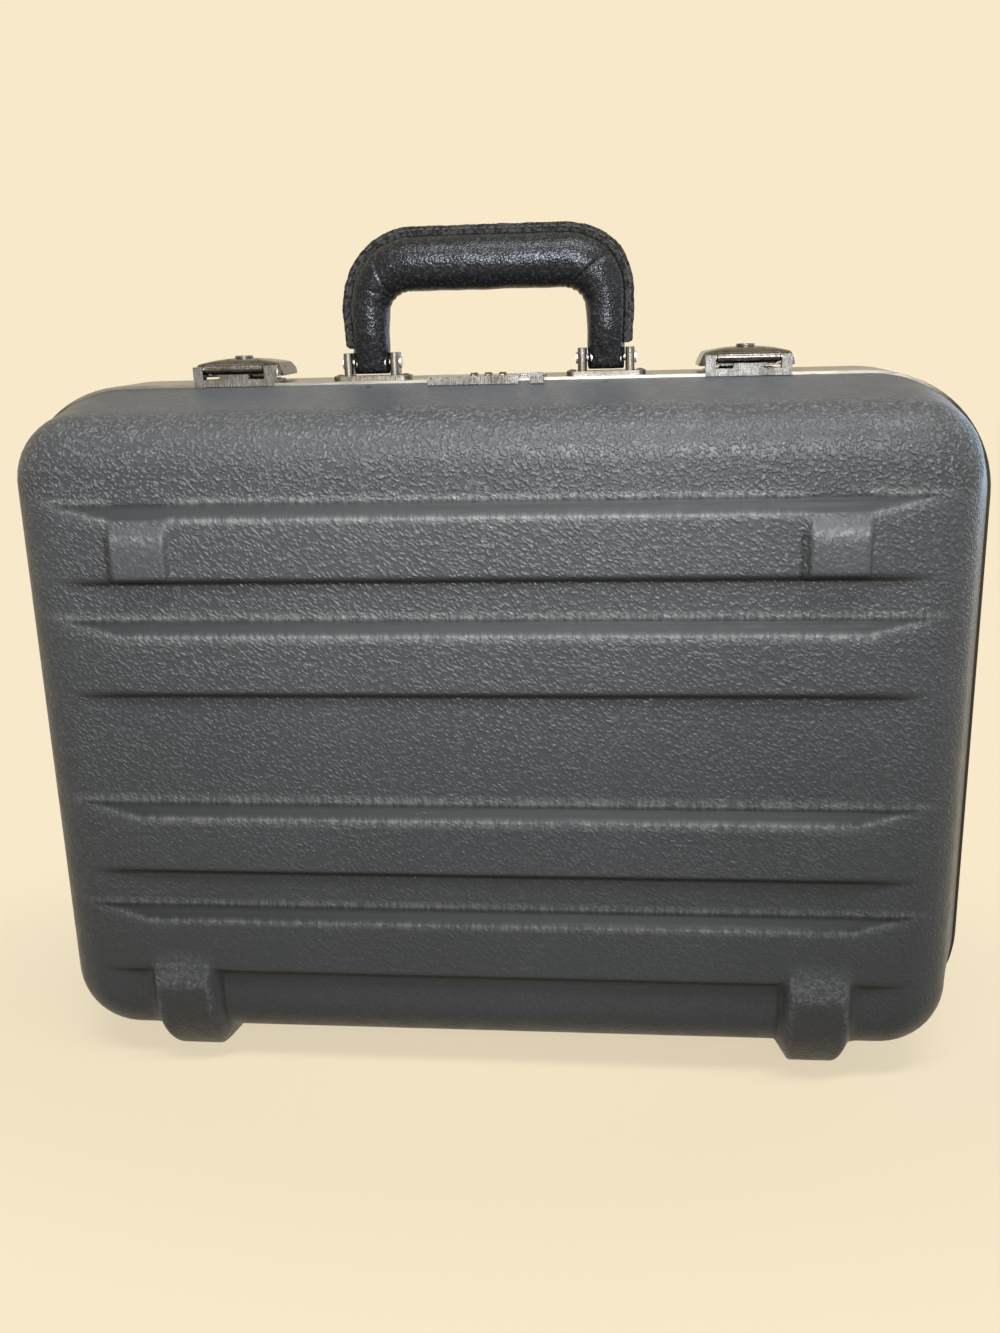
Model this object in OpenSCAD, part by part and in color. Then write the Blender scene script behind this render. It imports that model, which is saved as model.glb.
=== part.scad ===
// Hard-shell laptop case: two moulded shells with aluminium valances, a pair of
// hasp latches with key locks, a three-dial combination lock and a padded handle.
// The case stands on its moulded feet at Z = 0, its front faces -Y and the two
// shells part at Y = 0.

/* [Shells] */
// Width of a shell at its face
face_w = 444; // [430:1:460]
// Height of a shell at its face
face_h = 318; // [306:1:330]
// Depth of one shell, parting plane to face
shell_depth = 66; // [62:1:74]
// Thickness of the moulded wall
wall = 3.2; // [2.6:0.1:3.8]
// How far each side leans out from face to rim
rim_flare = 8.5; // [6:0.5:11]
// Radius of the face's four corners
face_corner_r = 33; // [30:1:40]
// Radius of the rim's four corners
rim_corner_r = 56; // [48:1:62]
// Radius between the face and the walls
edge_r = 25; // [20:1:28]

/* [Planks and pads] */
// Distance from the middle of the face to the middle of an inner plank
plank_inner = 45.5; // [42:0.5:48]
// Distance from an inner plank to the outer one beside it
plank_pitch = 54.5; // [50:0.5:57]
// Width of a plank at its root
plank_w = 37; // [32:0.5:40]
// Width of the bevel along a plank
plank_bevel = 7; // [5:0.5:9]
// Height of a plank above the face
plank_rise = 4; // [2.5:0.5:5]
// Distance from a plank's end to the side of the face
plank_margin = 20; // [16:1:30]
// Length of the ramp at a plank's end
plank_ramp = 30; // [20:1:40]
// Distance between the two pads, and between the two feet
pad_spacing = 314; // [280:1:330]
// Width of a pad's front
pad_w = 25; // [20:1:32]
// Height of a pad's front
pad_h = 16; // [12:1:20]
// Height of pads and feet above the planks
pad_rise = 4; // [2:0.5:6]

/* [Feet] */
// Gap under the valance when the case stands
foot_clear = 4.5; // [4:0.5:7]
// Width of a foot's front
foot_w = 26; // [20:1:34]
// Spread of a foot's sides where it leaves the shell
foot_spread = 5; // [3:0.5:8]
// Reach of the curve under a foot, front to back
foot_curve = 38; // [30:1:42]
// Distance from the face's middle to a foot's shoulder
foot_shoulder = 122; // [118:1:128]

/* [Valances] */
// Thickness of the aluminium valance
valance_t = 1.5; // [1.2:0.1:2]
// Depth of one valance
valance_d = 22; // [21:0.5:24]
// Thickness of the flange over the shell's edge
flange_t = 1.5; // [1.2:0.1:2]
// Length of the dust lip inside the front valance
lip_len = 3; // [2:0.5:4]
// Thickness of the dust lip
lip_t = 1.2; // [1:0.1:1.6]

/* [Hinges] */
// Distance between the two hinges
hinge_spacing = 230; // [180:5:250]
// Width of a hinge
hinge_w = 46; // [40:1:60]
// Radius of a hinge knuckle
knuckle_r = 2.4; // [2.2:0.1:2.6]
// Radius of a hinge pin
hinge_pin_r = 1.2; // [1:0.1:1.4]
// Thickness of a hinge leaf
leaf_t = 1.2; // [1:0.1:1.5]
// Depth of a hinge leaf
leaf_d = 17; // [15:1:20]

/* [Handle] */
// Distance between the handle's legs
leg_spacing = 111; // [100:1:120]
// Height of the grip's middle above the valance
grip_height = 52.5; // [50:0.5:62]
// Radius of the padded grip
grip_r = 12.6; // [11:0.2:14]
// Radius of a leg above its end
leg_r = 9.2; // [9:0.2:10.4]
// Radius of the padding round the bends
elbow_r = 11; // [10.6:0.2:12]
// Radius of the grip's bends, at its middle
bend_r = 22; // [18:1:26]
// Width of the stitched welt round the outside
welt_w = 3.6; // [2:0.2:5]
// Thickness of the welt
welt_t = 3; // [2:0.2:4]
// Thickness of the steel core
core_t = 2.6; // [2:0.2:3.2]
// Width of the steel core
core_w = 8; // [6:0.5:9]
// Radius of the handle pins
handle_pin_r = 1.8; // [1.5:0.1:2.2]
// Height of the handle pins above the valance
pin_height = 8; // [8:0.2:9]
// Distance between the two ears of a bracket
ear_gap = 18; // [17.6:0.2:19]
// Thickness of a bracket ear
ear_t = 4.2; // [3:0.2:5]
// Width of a bracket's base
bracket_w = 37; // [37:1:42]
// Depth of a bracket's base
bracket_d = 13; // [12:0.5:15]

/* [Latches] */
// Distance between the two latches
latch_spacing = 241; // [225:1:280]
// Width of a latch base
latch_w = 39; // [38:0.5:46]
// Width of a latch lever
lever_w = 44.6; // [42:0.2:50]
// Height of a lever's crown above the valance
lever_h = 11.6; // [11:0.2:14]
// Length of a lever behind its pin
lever_len = 35.5; // [33:0.5:38]
// Sheet thickness of a lever
lever_t = 1.4; // [1.1:0.1:1.6]
// Height of a latch pin above the valance
latch_pin_h = 6.8; // [6.6:0.1:7.4]
// Radius of a latch pin
latch_pin_r = 1; // [0.8:0.1:1.2]
// Width of a latch post
post_w = 4.6; // [3.6:0.2:5.4]
// Radius of a key barrel
barrel_r = 3; // [2.6:0.1:3.4]

/* [Combination lock] */
// Width of the lock plate
lock_w = 54.6; // [53:0.2:58]
// Radius of a dial
dial_r = 8.2; // [8:0.1:8.4]
// Thickness of a dial
dial_t = 3; // [2.4:0.1:3.4]
// Distance from one dial to the next
dial_pitch = 6.8; // [6.4:0.1:7.2]
// Height of a dial above the lock plate
dial_rise = 1.2; // [1.1:0.1:2]
// Radius of the dial shaft
dial_shaft_r = 1.5; // [1.2:0.1:1.8]
// Travel of the release slide
slide_travel = 5; // [3:0.5:6]

/* [Foam] */
// Width of the laptop bay
bay_w = 362; // [320:1:380]
// Height of the laptop bay
bay_h = 252; // [230:1:256]
// Depth of the laptop bay
bay_depth = 45; // [30:1:48]
// Distance from the parting plane to the foam
foam_recess = 6; // [5:0.5:10]

/* [Fits] */
// Running clearance of a pin in its bore
run_fit = 0.05; // [0.02:0.01:0.08]
// Gap between pieces that pass each other
pass_gap = 0.5; // [0.3:0.1:0.6]
// Gap between the foam and the shell round it
foam_gap = 0.4; // [0.3:0.1:0.8]

/* [Hidden] */
$fn = 64;
EDGE_FN = 32;

SHELL_GREY = [0.30, 0.31, 0.32];
ALUMINIUM = [0.78, 0.75, 0.70];
CHROME = [0.80, 0.80, 0.81];
NICKEL = [0.66, 0.63, 0.60];
STEEL = [0.55, 0.56, 0.58];
LEATHER = [0.07, 0.07, 0.08];
DIAL_BLACK = [0.12, 0.12, 0.12];
FOAM = [0.17, 0.17, 0.18];

// Shells
rim_w = face_w + 2 * rim_flare;
rim_h = face_h + 2 * rim_flare;
case_h = rim_h + 2 * valance_t;
mid_z = foot_clear + case_h / 2;
top_z = mid_z + case_h / 2;
wall_slope = rim_flare / (shell_depth - edge_r - valance_d);
plank_y = shell_depth + plank_rise;
pad_y = plank_y + pad_rise;
plank_outer = plank_inner + plank_pitch;

// Hinges, on the outside of the valances at the parting plane
hinge_z = foot_clear - 0.3;
knuckles = 5;
knuckle_len = hinge_w / knuckles;
knuckle_gap = 0.3;
rivet_r = 1.5;
rivet_head_r = 2.5;
rivet_head_h = 0.8;
leaf_rivet_pitch = hinge_w / 3;
leaf_rivet_y = (knuckle_r + leaf_d) / 2 + 1;

// Handle
handle_y = -valance_d / 2;
leg_x = leg_spacing / 2;
pin_z = top_z + pin_height;
grip_z = top_z + grip_height;
base_t = 2;
ear_h = 12.5;
ear_d = 11;
leg_end_w = ear_gap - 2 * pass_gap;
leg_end_r = 5.6;
eye_r = 4.4;
eye_w = leg_end_w - 3;
neck_len = 8;
leg_taper_len = 13;
strap_tail = 60;
swell_len = 9;
welt_end = 15;
bracket_rivet_x = (ear_gap / 2 + ear_t + bracket_w / 2) / 2;

// Latches; heights are above the valance
latch_x = latch_spacing / 2;
latch_front = 23;
latch_axis_y = -20;
base_plate_t = 1.4;
bar_h = 2;
post_h = 8;
post_back = -17;
roll_r = 2.2;
lever_front = latch_axis_y + 4;
lever_back = latch_axis_y + lever_len;
lever_low = 3;
crown_y = -4;
crown_r = 75;
key_y = -3;
boss_r = barrel_r + 1.6;
boss_h = 3.4;
barrel_top = lever_h + 0.6;
cam_low = 5.6;
cam_len = 8.5;
catch_t = 1.2;
catch_bead_h = lever_low - pass_gap;
latch_rivet_x = 11;
latch_rivet_y = -7;
catch_rivet_x = 9;
catch_rivet_y = 7;
catch_y = [3, 15];

// Combination lock; heights are above the valance
lock_y = -12.2;
lock_plate_t = 1.2;
lock_lip_t = 1.8;
lock_back = -3.4;
lock_lip_y = valance_d + 2.4;
dial_z = lock_plate_t + dial_rise - dial_r;
skin_t = valance_t + wall;
case_wall = 1.2;
case_y = [-21.9, -2.4];
case_low = -18.5;
bearing_x = dial_pitch + dial_t / 2 + 3;
bearing_t = 1.4;
bearing_top = -0.8;
window_x = bearing_x + bearing_t / 2 + pass_gap;
slide_w = 6.2;
slide_x = lock_w / 2 - slide_w - pass_gap;
stem_w = 3.4;
stem_x = slide_x + slide_w / 2 - 1;
stem_y = [-14, -11];
bolt_z = [-16.4, -14.6];
bolt_end = -14;
tongue_x = [-20.4, -15.6];
tongue_z = [-9.4, -8];
tongue_tip = -9;
strike_y = [2, 16];
strike_t = 1.3;
tongue_mid = (tongue_x[0] + tongue_x[1]) / 2;

// Places of the rivets on top, each [x, y] as seen on the front shell
bracket_points = [for (sx = [-1, 1], s = [-1, 1]) [sx * leg_x + s * bracket_rivet_x, handle_y]];
latch_points = [for (sx = [-1, 1], s = [-1, 1]) [sx * latch_x + s * latch_rivet_x, latch_rivet_y]];
catch_points = [for (sx = [-1, 1], s = [-1, 1]) [sx * latch_x + s * catch_rivet_x, -catch_rivet_y]];
strike_points = [for (s = [-1, 1]) [tongue_mid + s * 5, -(strike_y[0] + strike_y[1]) / 2]];

// ---- Shared shapes ----

// Rounded rectangle
module rounded_rect(w, h, r) {
    square([w - 2 * r, h], center = true);
    square([w, h - 2 * r], center = true);
    for (sx = [-1, 1], sy = [-1, 1])
        translate([sx * (w / 2 - r), sy * (h / 2 - r)]) circle(r);
}

// Rounded rectangle in the case's upright plane, from y0 to y1
module slab(w, h, r, y0, y1, x = 0, z = mid_z) {
    translate([x, y1, z]) rotate([90, 0, 0]) linear_extrude(y1 - y0) rounded_rect(w, h, r);
}

// Box from one corner to the opposite one
module block(low, high) {
    translate(low) cube(high - low);
}

// Rod along X, centred on x
module rod(r, len, x, y, z) {
    translate([x - len / 2, y, z]) rotate([0, 90, 0]) cylinder(r = r, h = len);
}

module mirrored_y() {
    mirror([0, 1, 0]) children();
}

// ---- Shells ----

// Solid form of a shell, drawn in by inset, from its face to y_end
module shell_form(inset, y_end) {
    corner_x = face_w / 2 - face_corner_r;
    corner_z = face_h / 2 - face_corner_r;
    hull() {
        slab(rim_w - 2 * inset, rim_h - 2 * inset, rim_corner_r - inset, -valance_d, y_end, $fn = 48);
        for (sx = [-1, 1], sz = [-1, 1])
            translate([sx * corner_x, edge_r - shell_depth, mid_z + sz * corner_z])
                rotate([90, 0, 0])
                    rotate_extrude($fn = EDGE_FN)
                        intersection() {
                            translate([face_corner_r - edge_r, 0]) circle(edge_r - inset, $fn = EDGE_FN);
                            translate([0, -edge_r]) square(2 * edge_r);
                        }
    }
}

// Raised form on the face: root plate and front plate, each [width, height, radius, z]
module raised(x, root, front, rise) {
    hull() {
        slab(root[0], root[1], root[2], -shell_depth, 2 - shell_depth, x, mid_z + root[3], $fn = EDGE_FN);
        slab(front[0], front[1], front[2], -shell_depth - rise, -shell_depth, x, mid_z + front[3],
             $fn = EDGE_FN);
    }
}

module plank(z) {
    root_w = face_w - 2 * plank_margin;
    front_h = plank_w - 2 * plank_bevel;
    raised(0, [root_w, plank_w, plank_w / 2.4, z], [root_w - 2 * plank_ramp, front_h, front_h / 2.4, z],
           plank_rise);
}

// Pad on the upper plank; its top bevel starts at the plank's own
module pad(x) {
    top = plank_outer + plank_w / 2;
    low = plank_outer - plank_w / 2;
    rise = plank_rise + pad_rise;
    low_bevel = plank_bevel * 0.8;
    raised(x, [pad_w + 6, top - low - 1, 5, (top + low) / 2],
           [pad_w, pad_h, 3, low + low_bevel + pad_h / 2], rise);
}

// Side view of a foot, drawn in by inset: shoulder, curve and flat sole
function foot_outline(inset) =
    let (front = -pad_y + inset, shoulder = mid_z - foot_shoulder, sole = inset,
         back = -valance_d - 0.8, inside = -shell_depth + edge_r)
    concat(
        [[inside, mid_z - plank_outer], [-plank_y + min(inset, plank_rise), mid_z - plank_outer - 8]],
        [for (i = [0 : 12])
            [front + foot_curve * (1 - cos(i * 7.5)), shoulder - (shoulder - sole) * sin(i * 7.5)]],
        [[back, sole], [back, mid_z - face_h / 2 + wall]]
    );

module foot_slice(w, inset) {
    translate([-w / 2, 0, 0]) rotate([90, 0, 90]) linear_extrude(w) polygon(foot_outline(inset));
}

module foot(x) {
    translate([x, 0, 0]) hull() {
        foot_slice(foot_w, 0);
        foot_slice(foot_w + 2 * foot_spread, plank_rise + pad_rise);
    }
}

// Room for the hinge knuckles at the rims' lower edge
module hinge_notches() {
    half = hinge_w / 2 + pass_gap;
    reach = knuckle_r + pass_gap;
    for (sx = [-1, 1])
        block([sx * hinge_spacing / 2 - half, -reach, -1],
              [sx * hinge_spacing / 2 + half, reach, hinge_z + reach]);
}

// Holes for the rivets through the valance and the shell, drilled r wide
module leaf_rivet_holes(r) {
    for (sx = [-1, 1], i = [-1 : 1])
        translate([sx * hinge_spacing / 2 + i * leaf_rivet_pitch, -leaf_rivet_y, 0]) cylinder(r = r, h = 20);
}

module top_holes(points, r) {
    for (p = points) translate([p[0], p[1], top_z - 20]) cylinder(r = r, h = 40);
}

// Window for the dials and slot for the slide, through valance and shell
module lock_openings() {
    reach = dial_r + pass_gap;
    block([-window_x, lock_y - reach, top_z - 10], [window_x, lock_y + reach, top_z + 5]);
    block([stem_x - stem_w / 2 - slide_travel - pass_gap, stem_y[0] - pass_gap, top_z - 10],
          [stem_x + stem_w / 2 + pass_gap, stem_y[1] + pass_gap, top_z + 5]);
}

module moulded_shell() {
    difference() {
        union() {
            shell_form(0, -flange_t);
            for (z = [-plank_outer, -plank_inner, plank_inner, plank_outer]) plank(z);
            for (sx = [-1, 1]) {
                pad(sx * pad_spacing / 2);
                foot(sx * pad_spacing / 2);
            }
        }
        shell_form(wall, 1);
        hinge_notches();
        leaf_rivet_holes(rivet_r + 0.1, $fn = 16);
    }
}

module front_shell() {
    color(SHELL_GREY) difference() {
        moulded_shell();
        lock_openings();
        top_holes(concat(bracket_points, latch_points), rivet_r + 0.1, $fn = 16);
    }
}

module back_shell() {
    color(SHELL_GREY) mirrored_y() difference() {
        moulded_shell();
        top_holes(concat(catch_points, strike_points), rivet_r + 0.1, $fn = 16);
    }
}

// ---- Valances ----

// L-section band round the rim, its flange reaching in by flange_w
module valance_band(flange_w) {
    difference() {
        slab(rim_w + 2 * valance_t, rim_h + 2 * valance_t, rim_corner_r + valance_t, -valance_d, 0);
        slab(rim_w, rim_h, rim_corner_r, -valance_d - 1, -flange_t);
        slab(rim_w - 2 * flange_w, rim_h - 2 * flange_w, rim_corner_r - flange_w, -flange_t - 1, 1);
        hinge_notches();
        leaf_rivet_holes(rivet_r);
    }
}

module front_valance() {
    color(ALUMINIUM) difference() {
        valance_band(wall);
        lock_openings();
        top_holes(concat(bracket_points, latch_points), rivet_r);
    }
}

// The dust lip stands on the inner edge of the back valance's flange, and stops short of the lock
module back_valance() {
    outer = wall + pass_gap;
    inner = outer + lip_t;
    color(ALUMINIUM) {
        mirrored_y() difference() {
            valance_band(inner);
            top_holes(concat(catch_points, strike_points), rivet_r);
        }
        difference() {
            slab(rim_w - 2 * outer, rim_h - 2 * outer, rim_corner_r - outer, -lip_len, 0);
            slab(rim_w - 2 * inner, rim_h - 2 * inner, rim_corner_r - inner, -lip_len - 1, 1);
            block([-lock_w / 2, -lip_len - 1, mid_z], [lock_w / 2, -0.1, top_z]);
        }
    }
}

// ---- Hinges ----

// One leaf with the knuckles in the list; the front leaf reaches towards -Y
module hinge_leaf(x, own) {
    start = x - hinge_w / 2;
    color(STEEL) difference() {
        union() {
            block([start, -leaf_d, foot_clear - leaf_t], [start + hinge_w, -knuckle_r - pass_gap, foot_clear]);
            for (i = own) {
                middle = start + (i + 0.5) * knuckle_len;
                half = (knuckle_len - knuckle_gap) / 2;
                rod(knuckle_r, 2 * half, middle, 0, hinge_z);
                block([middle - half, -knuckle_r - pass_gap - 0.1, foot_clear - leaf_t],
                      [middle + half, 0, foot_clear]);
            }
        }
        rod(hinge_pin_r + run_fit, hinge_w + 2, x, 0, hinge_z);
        for (i = [-1 : 1])
            translate([x + i * leaf_rivet_pitch, -leaf_rivet_y, 0]) cylinder(r = rivet_r, h = 20);
    }
}

module hinge_pin(x) {
    color(STEEL) rod(hinge_pin_r, hinge_w, x, 0, hinge_z);
}

// Rivet with its head at z0, its shank going up (dir 1) or down (dir -1) by depth
module rivet(x, y, z0, dir, depth) {
    translate([x, y, z0]) mirror([0, 0, dir > 0 ? 0 : 1]) {
        cylinder(r = rivet_r, h = depth);
        intersection() {
            translate([0, 0, -rivet_head_h]) cylinder(r = rivet_head_r, h = rivet_head_h);
            translate([0, 0, 3.6 - rivet_head_h]) sphere(3.6);
        }
    }
}

module leaf_rivets() {
    color(STEEL)
        for (sx = [-1, 1], i = [-1 : 1])
            rivet(sx * hinge_spacing / 2 + i * leaf_rivet_pitch, -leaf_rivet_y, foot_clear - leaf_t, 1,
                  leaf_t + skin_t - 0.3);
}

// ---- Handle ----

module handle_bracket(x) {
    color(NICKEL) translate([x, handle_y, top_z]) difference() {
        union() {
            linear_extrude(base_t) rounded_rect(bracket_w, bracket_d, 4);
            for (s = [-1, 1]) translate([s * (ear_gap + ear_t) / 2, 0, 0]) linear_extrude(ear_h) {
                square([ear_t, ear_d - ear_t], center = true);
                for (sy = [-1, 1]) translate([0, sy * (ear_d - ear_t) / 2]) circle(ear_t / 2);
            }
        }
        rod(handle_pin_r, bracket_w, 0, 0, pin_height);
        for (s = [-1, 1]) translate([s * bracket_rivet_x, 0, -1]) cylinder(r = rivet_r, h = base_t + 2);
    }
}

module bracket_rivets() {
    color(NICKEL) for (p = bracket_points) rivet(p[0], p[1], top_z + base_t, -1, base_t + skin_t - 0.3);
}

module handle_pin(x) {
    span = ear_gap + 2 * ear_t;
    color(STEEL) {
        rod(handle_pin_r, span, x, handle_y, pin_z);
        for (s = [-1, 1]) rod(handle_pin_r + 0.9, 0.9, x + s * (span + 0.9) / 2, handle_y, pin_z);
    }
}

// Upright U shape, its middle line half_w out and r round at the bends
module u_plate(half_w, rise, r, t) {
    height = rise + pin_height + strap_tail;
    translate([0, handle_y + t / 2, grip_z + rise - height / 2]) rotate([90, 0, 0])
        linear_extrude(t) rounded_rect(2 * half_w, height, r);
}

module core_strap(extra) {
    half = core_t / 2 + extra;
    difference() {
        u_plate(leg_x + half, half, bend_r + half, core_w + 2 * extra);
        u_plate(leg_x - half, -half, bend_r - half, core_w + 2);
        block([-leg_x - strap_tail, handle_y - strap_tail, 0],
              [leg_x + strap_tail, handle_y + strap_tail, pin_z]);
    }
}

module handle_core() {
    color(STEEL) difference() {
        union() {
            core_strap(0);
            for (sx = [-1, 1]) rod(eye_r, eye_w, sx * leg_x, handle_y, pin_z);
        }
        for (sx = [-1, 1]) rod(handle_pin_r + run_fit, eye_w + 2, sx * leg_x, handle_y, pin_z);
    }
}

// Padded tube: legs that narrow to their pinned ends, bends, and a grip that swells between them
module grip_tube() {
    leg_top = grip_z - bend_r - pin_z;
    for (sx = [-1, 1]) {
        rod(leg_end_r, leg_end_w, sx * leg_x, handle_y, pin_z);
        translate([sx * leg_x, handle_y, pin_z])
            rotate_extrude()
                polygon([[0, 1], [leg_end_r - 0.2, 2], [leg_end_w / 2, neck_len], [leg_r, leg_taper_len],
                         [elbow_r, leg_top], [0, leg_top]]);
        translate([sx * (leg_x - bend_r), handle_y, grip_z - bend_r])
            rotate([90, 0, sx > 0 ? 0 : 180])
                rotate_extrude(angle = 90) translate([bend_r, 0]) circle(elbow_r);
        translate([sx * (leg_x - bend_r), handle_y, grip_z]) rotate([0, -90 * sx, 0])
            cylinder(r1 = elbow_r, r2 = grip_r, h = swell_len);
    }
    rod(grip_r, leg_spacing - 2 * (bend_r + swell_len), 0, handle_y, grip_z);
}

module handle_grip() {
    color(LEATHER) difference() {
        grip_tube();
        core_strap(0.1);
        for (sx = [-1, 1]) {
            rod(eye_r + 0.1, eye_w + 0.2, sx * leg_x, handle_y, pin_z);
            rod(handle_pin_r + pass_gap, leg_end_w + 2, sx * leg_x, handle_y, pin_z);
        }
    }
}

module handle_welt() {
    out = grip_r + welt_w;
    color(LEATHER) difference() {
        u_plate(leg_x + elbow_r + welt_w, out, bend_r + out, welt_t);
        u_plate(leg_x, 0, bend_r, welt_t + 2);
        grip_tube();
        block([-leg_x - strap_tail, handle_y - strap_tail, 0],
              [leg_x + strap_tail, handle_y + strap_tail, pin_z + welt_end]);
    }
}

// ---- Latches ----

module at_latch(side) {
    translate([side * latch_x, 0, top_z]) children();
}

module latch_base(side) {
    half = latch_w / 2;
    color(CHROME) at_latch(side) difference() {
        union() {
            block([-half, -latch_front, 0], [half, -1, base_plate_t]);
            block([-half, -latch_front, 0], [half, post_back, bar_h]);
            block([-half, -latch_front, -valance_t + 0.2], [half, -valance_d - run_fit, bar_h]);
            for (s = [-1, 1])
                block([s * (half - post_w / 2) - post_w / 2, -latch_front, bar_h],
                      [s * (half - post_w / 2) + post_w / 2, post_back, post_h]);
            block([-latch_w / 5.6, -latch_front + 0.3, bar_h],
                  [latch_w / 5.6, latch_axis_y, latch_pin_h - roll_r - 0.3]);
        }
        rod(latch_pin_r, latch_w + 2, 0, latch_axis_y, latch_pin_h);
        for (s = [-1, 1]) translate([s * latch_rivet_x, latch_rivet_y, -1]) cylinder(r = rivet_r, h = 5);
    }
}

module latch_rivets() {
    color(CHROME) for (p = latch_points) rivet(p[0], p[1], top_z + base_plate_t, -1,
                                               base_plate_t + skin_t - 0.3);
}

module latch_pin(side) {
    color(STEEL) at_latch(side) rod(latch_pin_r, latch_w, 0, latch_axis_y, latch_pin_h);
}

// Side view of a lever's dome, drawn in by inset
function lever_outline(inset) =
    let (rise = lever_h - lever_low - inset, front = crown_y - lever_front + 2 - inset,
         back = lever_back - crown_y - inset, first = acos((crown_y - lever_front - inset) / front))
    concat(
        [[lever_front + inset, lever_low - (inset > 0 ? 5 : 0)]],
        [for (i = [0 : 6]) let (a = first + (90 - first) * i / 6)
            [crown_y - front * cos(a), lever_low + rise * sin(a)]],
        [for (i = [1 : 12]) let (a = 90 + 7.5 * i)
            [crown_y - back * cos(a), lever_low + rise * sin(a)]],
        inset > 0 ? [[lever_back - inset, lever_low - 5]] : []
    );

// Dome of a lever: side view, crowned front view and rounded plan together
module lever_dome(inset) {
    w = lever_w - 2 * inset;
    depth = lever_back - lever_front;
    intersection() {
        translate([-w / 2, 0, 0]) rotate([90, 0, 90]) linear_extrude(w) polygon(lever_outline(inset));
        translate([0, lever_back + 1, lever_h - inset - crown_r]) rotate([90, 0, 0])
            cylinder(r = crown_r, h = depth + 2);
        translate([0, (lever_back + lever_front) / 2, -5]) linear_extrude(lever_h + 10)
            rounded_rect(w, depth - 2 * inset, 5 - inset);
    }
}

module latch_lever(side) {
    neck = latch_w / 2 - post_w - pass_gap;
    color(CHROME) at_latch(side) difference() {
        union() {
            difference() {
                lever_dome(0);
                lever_dome(lever_t);
            }
            block([-neck, latch_axis_y, latch_pin_h - 0.6], [neck, lever_front + lever_t, latch_pin_h + 0.9]);
            rod(roll_r, 2 * neck, 0, latch_axis_y, latch_pin_h);
            translate([0, key_y, lever_h - boss_h]) cylinder(r = boss_r, h = boss_h);
        }
        rod(latch_pin_r + run_fit, 2 * neck + 2, 0, latch_axis_y, latch_pin_h);
        translate([0, key_y, lever_low]) cylinder(r = barrel_r + run_fit, h = lever_h);
    }
}

module key_ring(side) {
    color(CHROME) at_latch(side) translate([0, key_y, lever_h]) difference() {
        cylinder(r = boss_r - 0.3, h = 0.8);
        translate([0, 0, -1]) cylinder(r = barrel_r + run_fit, h = 3);
    }
}

// Barrel with its key slot, and the cam under it
module key_barrel(side) {
    color(NICKEL) at_latch(side) translate([0, key_y, 0]) difference() {
        union() {
            translate([0, 0, cam_low]) cylinder(r = barrel_r, h = barrel_top - cam_low);
            block([-barrel_r * 0.7, 0, cam_low], [barrel_r * 0.7, cam_len, cam_low + 1.6]);
        }
        block([-barrel_r * 0.7, -0.45, barrel_top - 1.6], [barrel_r * 0.7, 0.45, barrel_top + 1]);
    }
}

module catch(side) {
    color(CHROME) at_latch(side) difference() {
        union() {
            block([-13, catch_y[0], 0], [13, catch_y[1], catch_t]);
            block([-11, catch_y[1] - 3.2, 0], [11, catch_y[1] - 1.4, catch_bead_h]);
        }
        for (s = [-1, 1]) translate([s * catch_rivet_x, catch_rivet_y, -1]) cylinder(r = rivet_r, h = 5);
    }
}

module catch_rivets() {
    color(CHROME) for (p = catch_points) rivet(p[0], -p[1], top_z + catch_t, -1, catch_t + skin_t - 0.3);
}

// ---- Combination lock ----

module lock_plate() {
    half = lock_w / 2;
    lip_low = -valance_t - (lock_lip_y - valance_d) * wall_slope + 0.2;
    slot_x = slide_x - slide_travel - pass_gap;
    color(CHROME) translate([0, 0, top_z]) difference() {
        union() {
            block([-half, -lock_lip_y, 0], [half, lock_back, lock_plate_t]);
            block([-half, -lock_lip_y - lock_lip_t, lip_low], [half, -lock_lip_y, lock_plate_t]);
        }
        for (i = [-1 : 1])
            block([i * dial_pitch - dial_t / 2 - 0.35, lock_y - dial_r * 0.85, -1],
                  [i * dial_pitch + dial_t / 2 + 0.35, lock_y + dial_r * 0.85, lock_plate_t + 1]);
        block([slot_x, -lock_lip_y - lock_lip_t - 1, -10], [half - 0.1, stem_y[1] + pass_gap, 10]);
    }
}

// Tray under the valance with two bearing walls for the shaft
module lock_case() {
    half = lock_w / 2 - 1;
    top = -skin_t;
    color(STEEL) translate([0, 0, top_z]) difference() {
        union() {
            difference() {
                block([-half, case_y[0], case_low], [half, case_y[1], top]);
                block([-half + case_wall, case_y[0] + case_wall, case_low + case_wall],
                      [half - case_wall, case_y[1] - case_wall, top + 1]);
            }
            for (s = [-1, 1]) {
                low_x = s * bearing_x - bearing_t / 2;
                high_x = s * bearing_x + bearing_t / 2;
                block([low_x, case_y[0] + 0.5, bolt_z[1] + pass_gap], [high_x, case_y[1] - 0.5, top]);
                block([low_x, lock_y - 4, top - 1], [high_x, lock_y + 4, bearing_top]);
            }
        }
        rod(dial_shaft_r, 2 * bearing_x + 4, 0, lock_y, dial_z);
        block([tongue_x[0] - pass_gap, -8, tongue_z[0] - pass_gap],
              [tongue_x[1] + pass_gap, 0, tongue_z[1] + pass_gap]);
    }
}

module dial_shaft() {
    color(STEEL) rod(dial_shaft_r, 2 * bearing_x + bearing_t, 0, lock_y, top_z + dial_z);
}

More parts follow.
